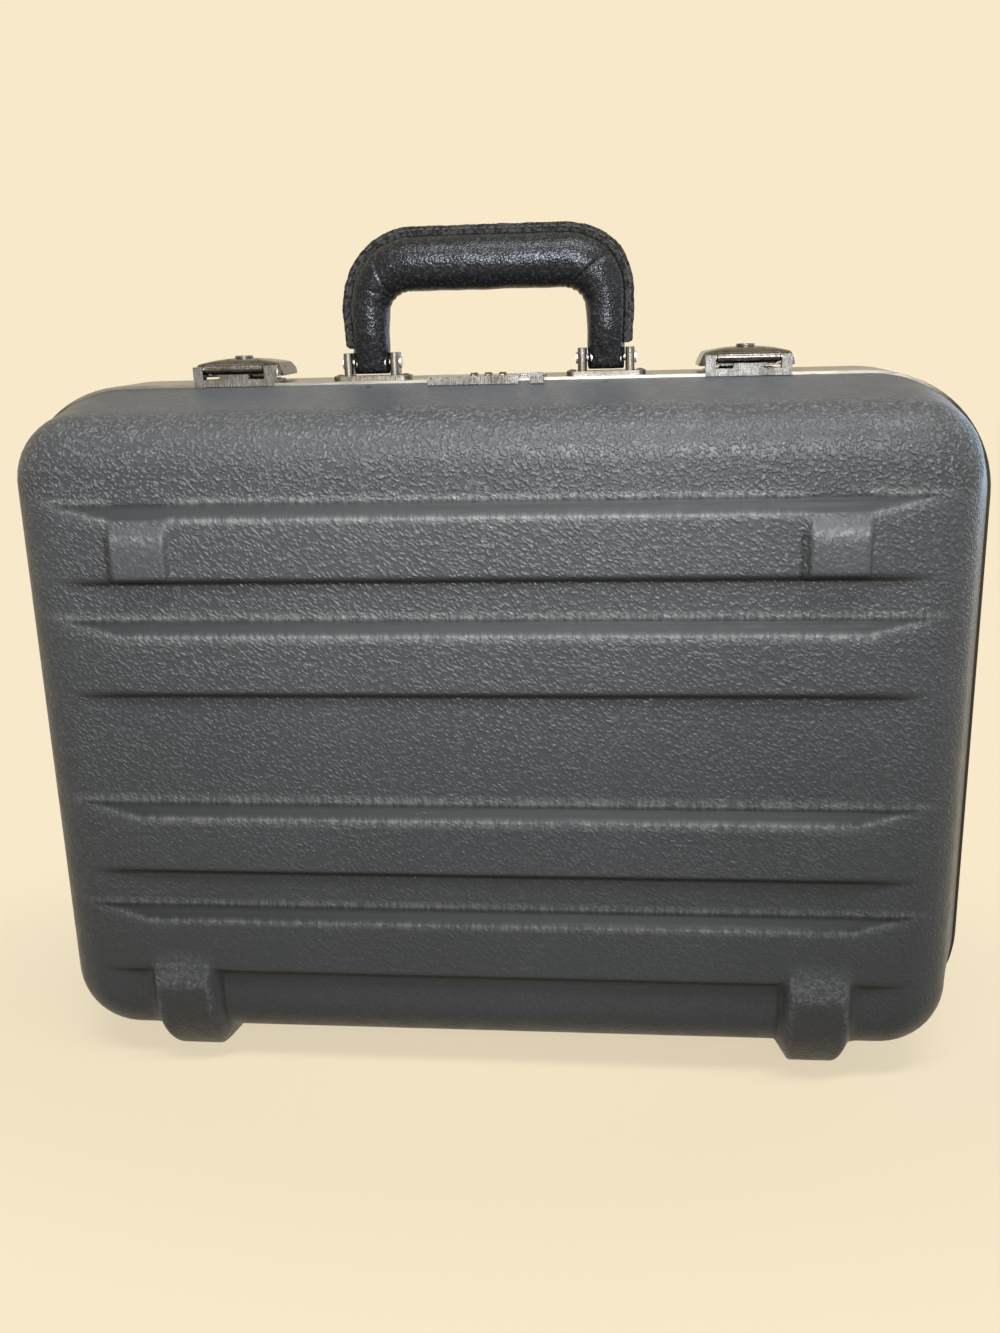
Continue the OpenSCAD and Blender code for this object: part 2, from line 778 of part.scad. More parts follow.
// Dial with a notch between each of its ten places
module dial(i) {
    color(DIAL_BLACK) translate([(i - 2) * dial_pitch, lock_y, top_z + dial_z]) difference() {
        rod(dial_r, dial_t, 0, 0, 0);
        rod(dial_shaft_r + run_fit, dial_t + 1, 0, 0, 0);
        for (k = [0 : 9]) rotate([k * 36 + 18, 0, 0])
            block([-dial_t, -0.4, dial_r - 0.5], [dial_t, 0.4, dial_r + 1]);
    }
}

module lock_slide() {
    lip_low = -valance_t - (lock_lip_y - valance_d) * wall_slope + 0.6;
    color(CHROME) translate([0, 0, top_z]) {
        block([slide_x, -lock_lip_y - lock_lip_t - 0.6, lip_low], [slide_x + slide_w, -lock_lip_y + 0.2, 2.6]);
        block([slide_x, -lock_lip_y + 0.1, 0.1], [slide_x + slide_w, stem_y[1], lock_plate_t - 0.1]);
        block([stem_x - stem_w / 2, stem_y[0], bolt_z[1]], [stem_x + stem_w / 2, stem_y[1], 0.2]);
    }
}

module lock_bolt() {
    color(STEEL) translate([0, 0, top_z])
        block([bolt_end, stem_y[0], bolt_z[0]], [stem_x + stem_w / 2, stem_y[1], bolt_z[1]]);
}

// Plate under the back shell's top wall, with the tongue that enters the lock
module lock_strike() {
    low = -skin_t - strike_t;
    color(STEEL) translate([0, 0, top_z]) difference() {
        union() {
            block([tongue_mid - 8, strike_y[0], low], [tongue_mid + 8, strike_y[1], -skin_t]);
            block([tongue_x[0], strike_y[0], tongue_z[0]], [tongue_x[1], strike_y[0] + 1.4, low + 0.1]);
            block([tongue_x[0], tongue_tip, tongue_z[0]], [tongue_x[1], strike_y[0] + 0.1, tongue_z[1]]);
        }
        block([tongue_mid - 1.2, tongue_tip + 1.5, tongue_z[0] - 1], [tongue_mid + 1.2, tongue_tip + 5, 0]);
        for (p = strike_points) translate([p[0], -p[1], -20]) cylinder(r = rivet_r, h = 40);
    }
}

module strike_rivets() {
    color(ALUMINIUM) for (p = strike_points) rivet(p[0], -p[1], top_z, -1, skin_t + strike_t);
}

// ---- Foam ----

module foam_block() {
    shell_form(wall + foam_gap, -foam_recess);
}

module base_foam() {
    margin = 1.5;
    color(FOAM) difference() {
        foam_block();
        slab(bay_w, bay_h, 12, -foam_recess - bay_depth, 1);
        block([-lock_w / 2 - margin, case_y[0] - margin, top_z + case_low - margin],
              [lock_w / 2 + margin, 1, top_z]);
    }
}

module lid_foam() {
    margin = 2;
    color(FOAM) difference() {
        mirrored_y() foam_block();
        block([tongue_mid - 8 - margin, 0, top_z + tongue_z[0] - margin],
              [tongue_mid + 8 + margin, strike_y[1] + margin, top_z]);
    }
}

front_shell();
back_shell();
front_valance();
back_valance();
hinge_leaf(-hinge_spacing / 2, [0, 2, 4]);  // left_hinge_front_leaf
hinge_leaf(hinge_spacing / 2, [0, 2, 4]);  // right_hinge_front_leaf
mirrored_y() hinge_leaf(-hinge_spacing / 2, [1, 3]);  // left_hinge_back_leaf
mirrored_y() hinge_leaf(hinge_spacing / 2, [1, 3]);  // right_hinge_back_leaf
hinge_pin(-hinge_spacing / 2);  // left_hinge_pin
hinge_pin(hinge_spacing / 2);  // right_hinge_pin
leaf_rivets();  // front_hinge_rivets
mirrored_y() leaf_rivets();  // back_hinge_rivets
handle_bracket(-leg_x);  // left_handle_bracket
handle_bracket(leg_x);  // right_handle_bracket
bracket_rivets();
handle_pin(-leg_x);  // left_handle_pin
handle_pin(leg_x);  // right_handle_pin
handle_core();
handle_grip();
handle_welt();
latch_base(-1);  // left_latch_base
latch_base(1);  // right_latch_base
latch_rivets();
latch_pin(-1);  // left_latch_pin
latch_pin(1);  // right_latch_pin
latch_lever(-1);  // left_latch_lever
latch_lever(1);  // right_latch_lever
key_ring(-1);  // left_key_ring
key_ring(1);  // right_key_ring
key_barrel(-1);  // left_key_barrel
key_barrel(1);  // right_key_barrel
catch(-1);  // left_catch
catch(1);  // right_catch
catch_rivets();
lock_plate();
lock_case();
dial_shaft();
dial(1);  // dial_1
dial(2);  // dial_2
dial(3);  // dial_3
lock_slide();
lock_bolt();
lock_strike();
strike_rivets();
base_foam();
lid_foam();
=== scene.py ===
"""Looks of a hard-shell laptop case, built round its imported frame.

Lengths are in millimetres and become metres when a mesh is made. A shell is described by x (to the right),
depth (away from the parting plane) and z (up), so the same shapes serve the front and the back."""

import math

import bmesh
import bpy
import numpy as np
from mathutils import Matrix, Vector, noise as vector_noise


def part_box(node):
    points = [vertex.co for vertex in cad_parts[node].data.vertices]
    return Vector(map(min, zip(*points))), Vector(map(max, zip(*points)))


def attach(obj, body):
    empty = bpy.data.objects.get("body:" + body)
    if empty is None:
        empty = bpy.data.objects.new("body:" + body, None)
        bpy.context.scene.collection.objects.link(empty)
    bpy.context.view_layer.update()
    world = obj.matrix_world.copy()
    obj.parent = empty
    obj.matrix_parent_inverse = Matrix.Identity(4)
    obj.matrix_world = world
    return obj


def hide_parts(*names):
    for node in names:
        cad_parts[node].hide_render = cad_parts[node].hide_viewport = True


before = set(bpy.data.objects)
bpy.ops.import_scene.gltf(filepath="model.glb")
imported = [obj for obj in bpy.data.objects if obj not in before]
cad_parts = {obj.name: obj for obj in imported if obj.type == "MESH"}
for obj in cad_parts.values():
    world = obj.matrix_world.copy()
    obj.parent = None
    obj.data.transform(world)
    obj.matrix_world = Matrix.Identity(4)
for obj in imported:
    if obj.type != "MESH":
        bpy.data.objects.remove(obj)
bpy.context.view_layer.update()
MM = 0.001


# ---- Sizes taken from the frame ----

def box_mm(node):
    """Lowest and highest corner of a CAD node, in millimetres."""
    low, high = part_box(node)
    return np.array(low) / MM, np.array(high) / MM


valance_low, valance_high = box_mm("front_valance")
shell_low, shell_high = box_mm("front_shell")
VALANCE_T = 1.5
VALANCE_D = -valance_low[1]
FLANGE_T = -shell_high[1]
RIM_HALF_W = valance_high[0] - VALANCE_T
RIM_HALF_H = (valance_high[2] - valance_low[2]) / 2 - VALANCE_T
MID_Z = (valance_high[2] + valance_low[2]) / 2
TOP_Z = valance_high[2]
WALL = 3.2
RIM_FLARE = 8.5
RIM_R = 56
FACE_R = 33
EDGE_R = 25
PAD_RISE = 4
PLANK_RISE = 4
SHELL_DEPTH = -shell_low[1] - PAD_RISE - PLANK_RISE
FACE_HALF_W = RIM_HALF_W - RIM_FLARE
FACE_HALF_H = RIM_HALF_H - RIM_FLARE

# ---- Mesh helpers ----


def linked(name, data):
    """New object in the scene."""
    obj = bpy.data.objects.new(name, data)
    bpy.context.scene.collection.objects.link(obj)
    return obj


def mesh_of(name, verts, faces):
    """Mesh from points in millimetres."""
    mesh = bpy.data.meshes.new(name)
    mesh.from_pydata((np.asarray(verts, float) * MM).tolist(), [], faces)
    return mesh


def evaluated_mesh(obj):
    """New mesh with an object's modifiers, or a curve's extrusion, worked in."""
    bpy.context.view_layer.update()
    return bpy.data.meshes.new_from_object(obj.evaluated_get(bpy.context.evaluated_depsgraph_get()))


def make_object(name, verts, faces, material, body, smooth=True):
    """Mesh object from points in millimetres, riding on a body."""
    mesh = mesh_of(name, verts, faces)
    mesh.polygons.foreach_set("use_smooth", [smooth] * len(mesh.polygons))
    mesh.materials.append(material)
    edit = bmesh.new()
    edit.from_mesh(mesh)
    bmesh.ops.recalc_face_normals(edit, faces=edit.faces[:])
    edit.to_mesh(mesh)
    edit.free()
    mesh.update()
    obj = linked(name, mesh)
    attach(obj, body)
    return obj


def set_attribute(obj, name, values):
    """Store a number per point, for the material to read."""
    layer = obj.data.attributes.new(name, "FLOAT", "POINT")
    layer.data.foreach_set("value", np.asarray(values, np.float32))


def smooth_by_angle(obj, degrees):
    obj.data.set_sharp_from_angle(angle=math.radians(degrees))


def cut(obj, verts, faces):
    """Take a closed form away from an object, for good."""
    mesh = mesh_of("cutter", verts, faces)
    tool = linked("cutter", mesh)
    modifier = obj.modifiers.new("cut", "BOOLEAN")
    modifier.object = tool
    modifier.solver = "EXACT"
    result = evaluated_mesh(obj)
    obj.modifiers.clear()
    obj.data = result
    bpy.data.objects.remove(tool)
    bpy.data.meshes.remove(mesh)


def grid_faces(rows, cols, closed=False, start=0, wrap=0):
    """Quads over rows x cols points; closed joins the last column to the first, wrap the last row too."""
    r = np.arange(rows - 1)[:, None] * cols
    c = np.arange(cols if closed else cols - 1)[None, :]
    n = (c + 1) % cols
    quads = np.stack([r + c, r + n, r + cols + n, r + cols + c], axis=-1)
    if wrap:
        quads = quads % wrap
    return (quads.reshape(-1, 4) + start).tolist()


def grid_border(rows_, cols):
    """Indices of the points round a grid, counter-clockwise from its first point."""
    index = np.arange(rows_ * cols).reshape(rows_, cols)
    return np.concatenate([index[0, :-1], index[:-1, -1], index[-1, :0:-1], index[:0:-1, 0]]).tolist()


def graded(stops):
    """Positions from the first stop to the last; each stop is (position, step from there on)."""
    out = []
    for (a, step), (b, _) in zip(stops, stops[1:]):
        count = max(1, round((b - a) / step))
        out += [a + (b - a) * i / count for i in range(count)]
    return np.array(out + [stops[-1][0]])


def smooth_min(a, b, k):
    h = np.maximum(k - np.abs(a - b), 0) / k
    return np.minimum(a, b) - h * h * k / 4


def smooth_max(a, b, k):
    return -smooth_min(-a, -b, k)


# ---- The shells' outline: stations round a rounded rectangle ----

STRAIGHT_X = RIM_HALF_W - RIM_R
STRAIGHT_Z = RIM_HALF_H - RIM_R
GRID_X = FACE_HALF_W - EDGE_R - 4
GRID_Z = FACE_HALF_H - EDGE_R - 4
PLANK_INNER, PLANK_OUTER = 45.5, 100
PLANK_HALF_W, PLANK_BEVEL, PLANK_LOW_BEVEL, PLANK_RAMP = 18.5, 7, 2.8, 30
PLANK_HALF_L = FACE_HALF_W - 20
PAD_X = 157
PAD_TOP_EDGE = PLANK_OUTER - PLANK_HALF_W + 21.6

half_columns = graded([(0, 6), (136, 0.8), (147, 3), (167, 0.8), (STRAIGHT_X, 1)])
corner_columns = graded([(STRAIGHT_X, 2), (GRID_X, 1)])[1:]
# Rows lie on the planks' edges, and close together beside them
half_rows = graded([(0, 4.5), (25.8, 0.6), (28.2, 0.9), (32.8, 0.6), (35.2, 3.5), (55.8, 0.6), (58.2, 0.9),
                    (62.8, 0.6), (65.2, 3), (80.3, 0.6), (82.7, 0.9), (87.3, 0.6), (89.7, 2.2), (102, 0.9),
                    (105, 2), (110.3, 0.6), (STRAIGHT_Z, 1)])
corner_rows = graded([(STRAIGHT_Z, 0.6), (112.7, 0.9), (117.3, 0.6), (119.7, 2), (GRID_Z, 1)])[1:]


def mirrored(half):
    return np.concatenate([-half[:0:-1], half])


columns = mirrored(np.concatenate([half_columns, corner_columns]))
rows = mirrored(np.concatenate([half_rows, corner_rows]))


def station_list():
    """Stations counter-clockwise from the lower left corner of the face grid, seen from the front.

    Each is (x sign, z sign, along, side): along is a position on a straight side, or past its end the share
    of the way round the corner; side is 'x' for a column on the top or bottom, 'z' for a row on a side."""
    def along(value, straight, reach):
        if abs(value) <= straight:
            return abs(value), 0.0
        return straight, (abs(value) - straight) / (reach - straight)

    out = []
    for sign, side in ((-1, "x"), (1, "z"), (1, "x"), (-1, "z")):
        values = columns if side == "x" else rows
        values = values if (side, sign) in (("x", -1), ("z", 1)) else values[::-1]
        for v in values[:-1]:
            if side == "x":
                at, share = along(v, STRAIGHT_X, GRID_X)
                out.append((math.copysign(1, v), sign, at, share, 0))
            else:
                at, share = along(v, STRAIGHT_Z, GRID_Z)
                out.append((sign, math.copysign(1, v), at, share, 1))
    return np.array(out)


stations = station_list()
SX, SZ, AT, SHARE, ON_SIDE = stations.T


def outline(straight_x, straight_z, radius):
    """Points and outward normals of a rounded rectangle at every station."""
    def walk(straight, start):
        rest = straight - start
        length = SHARE * (rest + radius * math.pi / 4)
        return np.minimum(length, rest), np.maximum(length - rest, 0) / max(radius, 1e-9)

    extra_x, turn_x = walk(straight_x, STRAIGHT_X)
    extra_z, turn_z = walk(straight_z, STRAIGHT_Z)
    side = ON_SIDE > 0
    angle = np.where(side, turn_z, math.pi / 2 - turn_x)
    x = np.where(side, straight_x, AT + extra_x)
    z = np.where(side, AT + extra_z, straight_z)
    nx, nz = np.cos(angle), np.sin(angle)
    return SX * (x + radius * nx), SZ * (z + radius * nz), SX * nx, SZ * nz


def support(straight_x, straight_z, radius, nx, nz):
    return np.abs(nx) * straight_x + np.abs(nz) * straight_z + radius


def shell_rings(inset, fillet_steps, wall_steps):
    """Rings of a shell's plain form from the face to the rim: base points and push directions.

    Each ring is (x, depth, z, nx, nd, nz)."""
    face_x, face_z = FACE_HALF_W - FACE_R, FACE_HALF_H - FACE_R
    radius = EDGE_R - inset
    core = FACE_R - EDGE_R
    centre = SHELL_DEPTH - EDGE_R
    _, _, nx, nz = outline(STRAIGHT_X, STRAIGHT_Z, RIM_R - inset)
    gap = support(STRAIGHT_X, STRAIGHT_Z, RIM_R - inset, nx, nz) - support(face_x, face_z, core, nx, nz)
    drop = centre - VALANCE_D
    tangent = np.arccos(np.clip(radius / np.hypot(gap, drop), -1, 1)) - np.arctan2(drop, gap)
    rings = []
    for step in fillet_steps:
        angle = math.pi / 2 - (math.pi / 2 - tangent) * step
        mean = float(np.mean(np.cos(angle)))
        x, z, _, _ = outline(face_x, face_z, core + radius * mean)
        extra = radius * (np.cos(angle) - mean)
        rings.append((x + nx * extra, centre + radius * np.sin(angle), z + nz * extra,
                      nx * np.cos(angle), np.sin(angle), nz * np.cos(angle)))
    x1, d1, z1 = rings[-1][:3]
    x0, z0, _, _ = outline(STRAIGHT_X, STRAIGHT_Z, RIM_R - inset)
    for step in wall_steps:
        angle = tangent * (1 - step)
        rings.append((x1 + (x0 - x1) * step, d1 + (VALANCE_D - d1) * step, z1 + (z0 - z1) * step,
                      nx * np.cos(angle), np.sin(angle), nz * np.cos(angle)))
    for depth in (VALANCE_D * 0.5, FLANGE_T):
        rings.append((x0, np.full_like(x0, depth), z0, nx, np.zeros_like(nx), nz))
    return rings


# ---- Raised forms: height above the plain face ----

FOOT_HALF_W, FOOT_SPREAD = 13, 5
SHOULDER_ZF = -122
FOOT_SHOULDER = MID_Z + SHOULDER_ZF
FOOT_CURVE = 38
FOOT_RISE = PLANK_RISE + PAD_RISE


def near(distance, width):
    return np.exp(-(distance / width) ** 2)


def plank_height(x, z, middle):
    upper = (middle + PLANK_HALF_W - z) * PLANK_RISE / PLANK_BEVEL
    lower = (z - middle + PLANK_HALF_W) * PLANK_RISE / PLANK_LOW_BEVEL
    end = (PLANK_HALF_L - np.abs(x)) * PLANK_RISE / PLANK_RAMP
    sloped = smooth_min(smooth_min(upper, lower, 1.2), end, 3.6)
    groove = 0.9 * near(z - middle - PLANK_HALF_W + 1.6, 1.5) * np.clip((PLANK_HALF_L - np.abs(x)) / 14, 0, 1)
    return smooth_max(smooth_min(sloped, PLANK_RISE, 1.1), 0 * sloped, 0.5) - groove


def pad_height(x, z):
    rise = PLANK_RISE + PAD_RISE
    low, high = PLANK_OUTER - PLANK_HALF_W, PLANK_OUTER + PLANK_HALF_W - 1
    low_bevel, front_h, half_w, half_root = 3.4, 18.2, 12.5, 15.5
    side = (half_root - np.abs(np.abs(x) - PAD_X)) * rise / (half_root - half_w)
    lower = (z - low) * rise / low_bevel
    upper = (high - z) * rise / (high - low - low_bevel - front_h)
    sloped = smooth_min(smooth_min(side, lower, 3.5), upper, 2.5)
    return smooth_max(smooth_min(sloped, rise, 2.4), 0 * sloped, 1.2)


def foot_front(z):
    """Depth of the foot's front at a height: ramp off the plank, then the curve under the shoulder."""
    ramp = SHELL_DEPTH + FOOT_RISE - (z - FOOT_SHOULDER) * PAD_RISE / 14
    lowered = np.clip((FOOT_SHOULDER - z) / FOOT_SHOULDER, 0, 1)
    curve = SHELL_DEPTH + FOOT_RISE - FOOT_CURVE * (1 - np.sqrt(1 - lowered ** 2))
    return np.where(z > FOOT_SHOULDER, ramp, curve)


def foot_height(x, depth, z, nd, nz):
    """How far the foot stands out along the push direction."""
    across = np.abs(np.abs(x) - PAD_X)
    down = np.hypot(nd, nz).clip(1e-9)
    step_d, step_z = nd / down, nz / down
    low, high = np.zeros_like(z), np.full_like(z, 30.0)
    for _ in range(22):
        reach = (low + high) / 2
        at_z = z + reach * step_z
        inside = (depth + reach * step_d <= foot_front(at_z)) & (at_z >= 0)
        low, high = np.where(inside, reach, low), np.where(inside, high, reach)
    at_foot = (across < FOOT_HALF_W + FOOT_SPREAD + 3) & (z < MID_Z - 90) & (nz <= 0.001)
    reach = np.where(at_foot & (depth > VALANCE_D + 0.6), low, 0)
    side = (FOOT_HALF_W + FOOT_SPREAD - across) * FOOT_RISE / FOOT_SPREAD
    return np.where(at_foot, smooth_max(smooth_min(reach, side, 2.0), 0 * reach, 1.2), 0)


def raised_height(x, depth, z, nd, nz):
    """Height of planks, pads and feet above the plain form, along the push direction."""
    zf = z - MID_Z
    total = sum(plank_height(x, zf, m) for m in (-PLANK_OUTER, -PLANK_INNER, PLANK_INNER, PLANK_OUTER))
    on_face = np.clip((nd - 0.5) * 4, 0, 1)
    total = total * on_face
    total = smooth_max(total, pad_height(x, zf) * on_face, 0.7)
    foot = foot_height(x, depth, z, nd, nz)
    return np.where(foot > 0.01, smooth_max(total, foot, 1.4), total)


MASKS = ("grain", "sparkle", "crease_shade", "wear_and_highlight", "bevel")


def shell_masks(x, zf, nd, nz, height):
    """Strength of each of the MASKS at points of a shell: grain, dashes of painted highlight, painted shade
    in the creases, wear with painted highlight, and painted shade on the bevels."""
    across, from_pad = np.abs(x), np.abs(np.abs(x) - PAD_X)
    sparkle, crease_shade, bevel, smooth = (np.zeros_like(x) for _ in range(4))
    for middle in (-PLANK_OUTER, -PLANK_INNER, PLANK_INNER, PLANK_OUTER):
        end = PLANK_HALF_L - across
        band = PLANK_BEVEL * np.clip(end / PLANK_RAMP, 0, 1)
        off = zf - middle
        # Lines of painted highlight at the root and at the edge of each plank's upper bevel
        lines = (near(off - PLANK_HALF_W - 0.9, 1.5) +
                 near(off - PLANK_HALF_W + band + 0.6, 1.5) * np.clip(end / PLANK_RAMP, 0.25, 1))
        line_fade = np.clip((end + 8) / 14, 0, 1)
        low_fade = np.clip((end - 2) / 16, 0, 1)
        if middle == PLANK_OUTER:
            line_fade = line_fade * np.clip((from_pad - 12) / 4, 0, 1)
        if middle == -PLANK_OUTER:
            low_fade = low_fade * np.clip((from_pad - 16.5) / 3, 0, 1)
            line_fade = line_fade * 0.85
        sparkle = np.maximum(sparkle, lines * line_fade)
        # Painted shade in the crease under each plank
        crease_shade = np.maximum(crease_shade, np.clip(1.5 * near(off + PLANK_HALF_W, 0.95), 0, 1) * low_fade)
        slope = np.clip(np.minimum(PLANK_HALF_W + 0.4 - off, off - PLANK_HALF_W + band) + 0.4, 0, 1)
        low_slope = np.clip(np.minimum(off + PLANK_HALF_W, PLANK_LOW_BEVEL - PLANK_HALF_W - off), 0, 1)
        smooth = np.maximum(smooth, np.maximum(slope, low_slope))
        # The bevel mask is painted shade, strongest at the bevel's root and a little lighter towards the
        # plank's edge
        down = np.clip((PLANK_HALF_W - off) / PLANK_BEVEL, 0, 1)
        bevel = np.maximum(bevel, slope * (across < PLANK_HALF_L) * (1 - 0.3 * down))
    # Wear with painted highlight: the pads' edges, a bright top edge, and faces painted lighter towards the
    # top edge
    on_pad = (zf > 82) & (zf < 117)
    below_edge = np.clip((zf - PAD_TOP_EDGE + 17) / 17, 0, 1) * (zf < PAD_TOP_EDGE)
    wear_and_highlight = 0.5 * near(from_pad - 12.5, 1.1) * on_pad * below_edge
    wear_and_highlight = np.maximum(wear_and_highlight, near(zf - PAD_TOP_EDGE - 0.5, 1.4) * (from_pad < 13.5))
    wear_and_highlight = np.maximum(wear_and_highlight, 0.32 * (from_pad < 13) * below_edge)
    # Painted shade on the left wall of each pad
    left_of_pad = near(x - np.sign(x) * PAD_X + 15.6, 1.3)
    crease_shade = np.maximum(crease_shade, 0.8 * left_of_pad * (zf > 82) * np.clip((107 - zf) / 5, 0, 1))
    on_foot = (zf < -112) & (nz <= 0.001)
    # Wear with painted highlight on the feet's shoulders and sides
    wear_and_highlight = np.maximum(wear_and_highlight, near(zf - SHOULDER_ZF, 2.4) * (from_pad < 14.5) * on_foot)
    wear_and_highlight = np.maximum(wear_and_highlight, 0.8 * near(from_pad - FOOT_HALF_W + 0.4, 1.2) * on_foot * (height > 3))
    above_shoulder = np.clip((zf - SHOULDER_ZF) / 4, 0, 1) * np.clip((-104 - zf) / 10, 0, 1)
    wear_and_highlight = np.maximum(wear_and_highlight, 0.5 * np.clip((13.5 - from_pad) / 4, 0, 1) * above_shoulder)
    # Painted shade down the sides of the feet
    side_run = np.clip((-113 - zf) / 5, 0, 1) * (nd > 0.02) * (nz <= 0.001)
    crease_shade = np.maximum(crease_shade, 0.8 * near(from_pad - FOOT_HALF_W - FOOT_SPREAD - 0.4, 0.9) * side_run)
    grain = (0.9 - 0.8 * smooth) * np.interp(zf, (-110, -60, 70), (0.35, 0.6, 1))
    fillet = np.clip((zf - 118) / 3, 0, 1) * np.clip((nd - 0.3) / 0.12, 0, 1)
    grain = grain + (1.4 - grain) * fillet
    grain = np.where((zf < -118) & (smooth < 0.5), 0.3, grain)
    grain = np.where((nd <= 0.3) & (nz > 0.5), 0.22, grain)
    grain = np.where((from_pad < 15) & ((on_pad & (height > 4.5)) | (on_foot & (height > 4.5))), 0.4, grain)
    return grain, sparkle, crease_shade, wear_and_highlight, bevel


def build_shell(name, sign, material, body):
    """Moulded shell: gridded face, rings round the edge, and a plain inner skin."""
    gx, gz = np.meshgrid(columns, rows)
    flat = np.full_like(gx, SHELL_DEPTH)
    ones, zeros = np.ones_like(gx), np.zeros_like(gx)
    height = raised_height(gx, flat, gz + MID_Z, ones, zeros)
    face = np.stack([gx, flat + height, gz + MID_Z], -1).reshape(-1, 3)
    masks = [[m.ravel() for m in shell_masks(gx, gz, ones, zeros, height)]]
    faces = grid_faces(*gx.shape)
    border = grid_border(*gx.shape)

    wall_steps = (0.15, 0.3, 0.45, 0.6, 0.72, 0.82, 0.89, 0.93, 0.955, 0.972, 0.985, 1)
    outer = shell_rings(0, np.linspace(0, 1, 17), wall_steps)
    points = [face]
    for x, d, z, nx, nd, nz in outer:
        h = raised_height(x, d, z + MID_Z, nd, nz)
        points.append(np.stack([x + nx * h, d + nd * h, z + MID_Z + nz * h], -1))
        masks.append(shell_masks(x, z, nd, nz, h))
    inner = shell_rings(WALL, (0.1, 0.4, 0.7, 1), (0.5, 1))[::-1]
    for x, d, z, *_ in inner:
        points.append(np.stack([x, d, z + MID_Z], -1))
        masks.append([0 * x] * 5)
    count = len(stations)
    first = len(face)
    faces += [[first + i, first + (i + 1) % count, border[(i + 1) % count], border[i]] for i in range(count)]
    rings = grid_faces(len(outer) + len(inner), count, closed=True, start=first)
    faces += [f[::-1] for f in rings]
    last = first + (len(outer) + len(inner) - 1) * count
    faces.append([last + i for i in range(count)][::-1])
    verts = np.concatenate(points)
    verts[:, 1] *= sign
    if sign < 0:
        faces = [f[::-1] for f in faces]
    shell = make_object(name, verts, [f[::-1] for f in faces], material, body)
    for label, values in zip(MASKS, zip(*masks)):
        set_attribute(shell, label, np.concatenate(values))
    return shell


# ---- Node helpers ----

class Value:
    """Output of a shader node; sums and products of values add the Math nodes that work them out."""

    def __init__(self, tree, socket):
        self.tree, self.socket = tree, socket

    def calc(self, operation, a, b=0.0):
        return node(self.tree, "Math", {"operation": operation}, _0=a, _1=b)

    def __add__(self, other):
        return self.calc("ADD", self, other)

    def __sub__(self, other):
        return self.calc("SUBTRACT", self, other)

    def __rsub__(self, other):
        return self.calc("SUBTRACT", other, self)

    def __mul__(self, other):
        return self.calc("MULTIPLY", self, other)

    def __abs__(self):
        return self.calc("ABSOLUTE", self)

    def at_least(self, other):
        return self.calc("MAXIMUM", self, other)


def feed(tree, socket, value):
    """Link a value or an output socket to an input, or set the input's own number or colour."""
    value = getattr(value, "socket", value)
    if isinstance(value, bpy.types.NodeSocket):
        tree.links.new(value, socket)
    else:
        socket.default_value = value


def node(tree, kind, props=None, out=0, **inputs):
    """Output of a new shader node; an input is named with _ for a space, or as _ and its number."""
    made = tree.nodes.new("ShaderNode" + kind)
    for key, value in (props or {}).items():
        setattr(made, key, value)
    for key, value in inputs.items():
        feed(tree, made.inputs[int(key[1:]) if key[1:].isdigit() else key.replace("_", " ")], value)
    return Value(tree, made.outputs[out])


def drive(shader, **values):
    """Feed values to a shader's inputs."""
    for key, value in values.items():
        feed(shader.id_data, shader.inputs[key.replace("_", " ")], value)


def span(value, low, high, to_low=0.0, to_high=1.0):
    """Value remapped from low..high to to_low..to_high, eased at both ends and clamped."""
    return node(value.tree, "MapRange", {"interpolation_type": "SMOOTHSTEP"}, Value=value, From_Min=low,
                From_Max=high, To_Min=to_low, To_Max=to_high)


def blend(share, a, b):
    """Colour between a and b, each a colour or a value."""
    a, b = (c if isinstance(c, Value) else (*c, 1) for c in (a, b))
    return node(share.tree, "Mix", {"data_type": "RGBA"}, out=2, _0=share, _6=a, _7=b)


def vector_calc(operation, a, b=(0, 0, 0), c=(0, 0, 0), out=0):
    return node(a.tree, "VectorMath", {"operation": operation}, out, _0=a, _1=b, _2=c)


def place_of(tree, scale=(1, 1, 1)):
    """Object coordinates in metres, stretched by scale."""
    place = node(tree, "TexCoord", out="Object")
    return place if scale == (1, 1, 1) else vector_calc("MULTIPLY", place, scale)


def noise(place, scale, detail=2.0, rough=0.5, distortion=0.0, out="Fac"):
    return node(place.tree, "TexNoise", out=out, Vector=place, Scale=scale, Detail=detail, Roughness=rough,
                Distortion=distortion)


def cells(place, scale, feature="F1"):
    return node(place.tree, "TexVoronoi", {"feature": feature}, "Distance", Vector=place, Scale=scale)


def ridges(value, width):
    """Thin ridges where a noise passes its middle."""
    return span(abs(value - 0.5), 0, width, 1, 0)


def bump(shader, height, distance, strength=1.0):
    """Relief of a height times a distance in millimetres."""
    drive(shader, Normal=node(height.tree, "Bump", Height=height, Distance=distance * MM, Strength=strength))


def new_material(name, color, roughness, metallic=0.0, **more):
    material = bpy.data.materials.new(name)
    material.use_nodes = True
    tree = material.node_tree
    shader = tree.nodes["Principled BSDF"]
    drive(shader, Base_Color=(*color, 1), Roughness=roughness, Metallic=metallic, **more)
    return material, tree, shader


# ---- Materials ----

SHELL_COLOR = (0.056, 0.061, 0.070)
SATIN_COLOR = (0.2, 0.188, 0.17)
CREAM = (0.72, 0.68, 0.58)
SHELL_SHINE = 0.36
# Painted shade of a small pit in the shell's top below each handle bracket
DIMPLE = (55.5, 25.2, TOP_Z - 2.9)


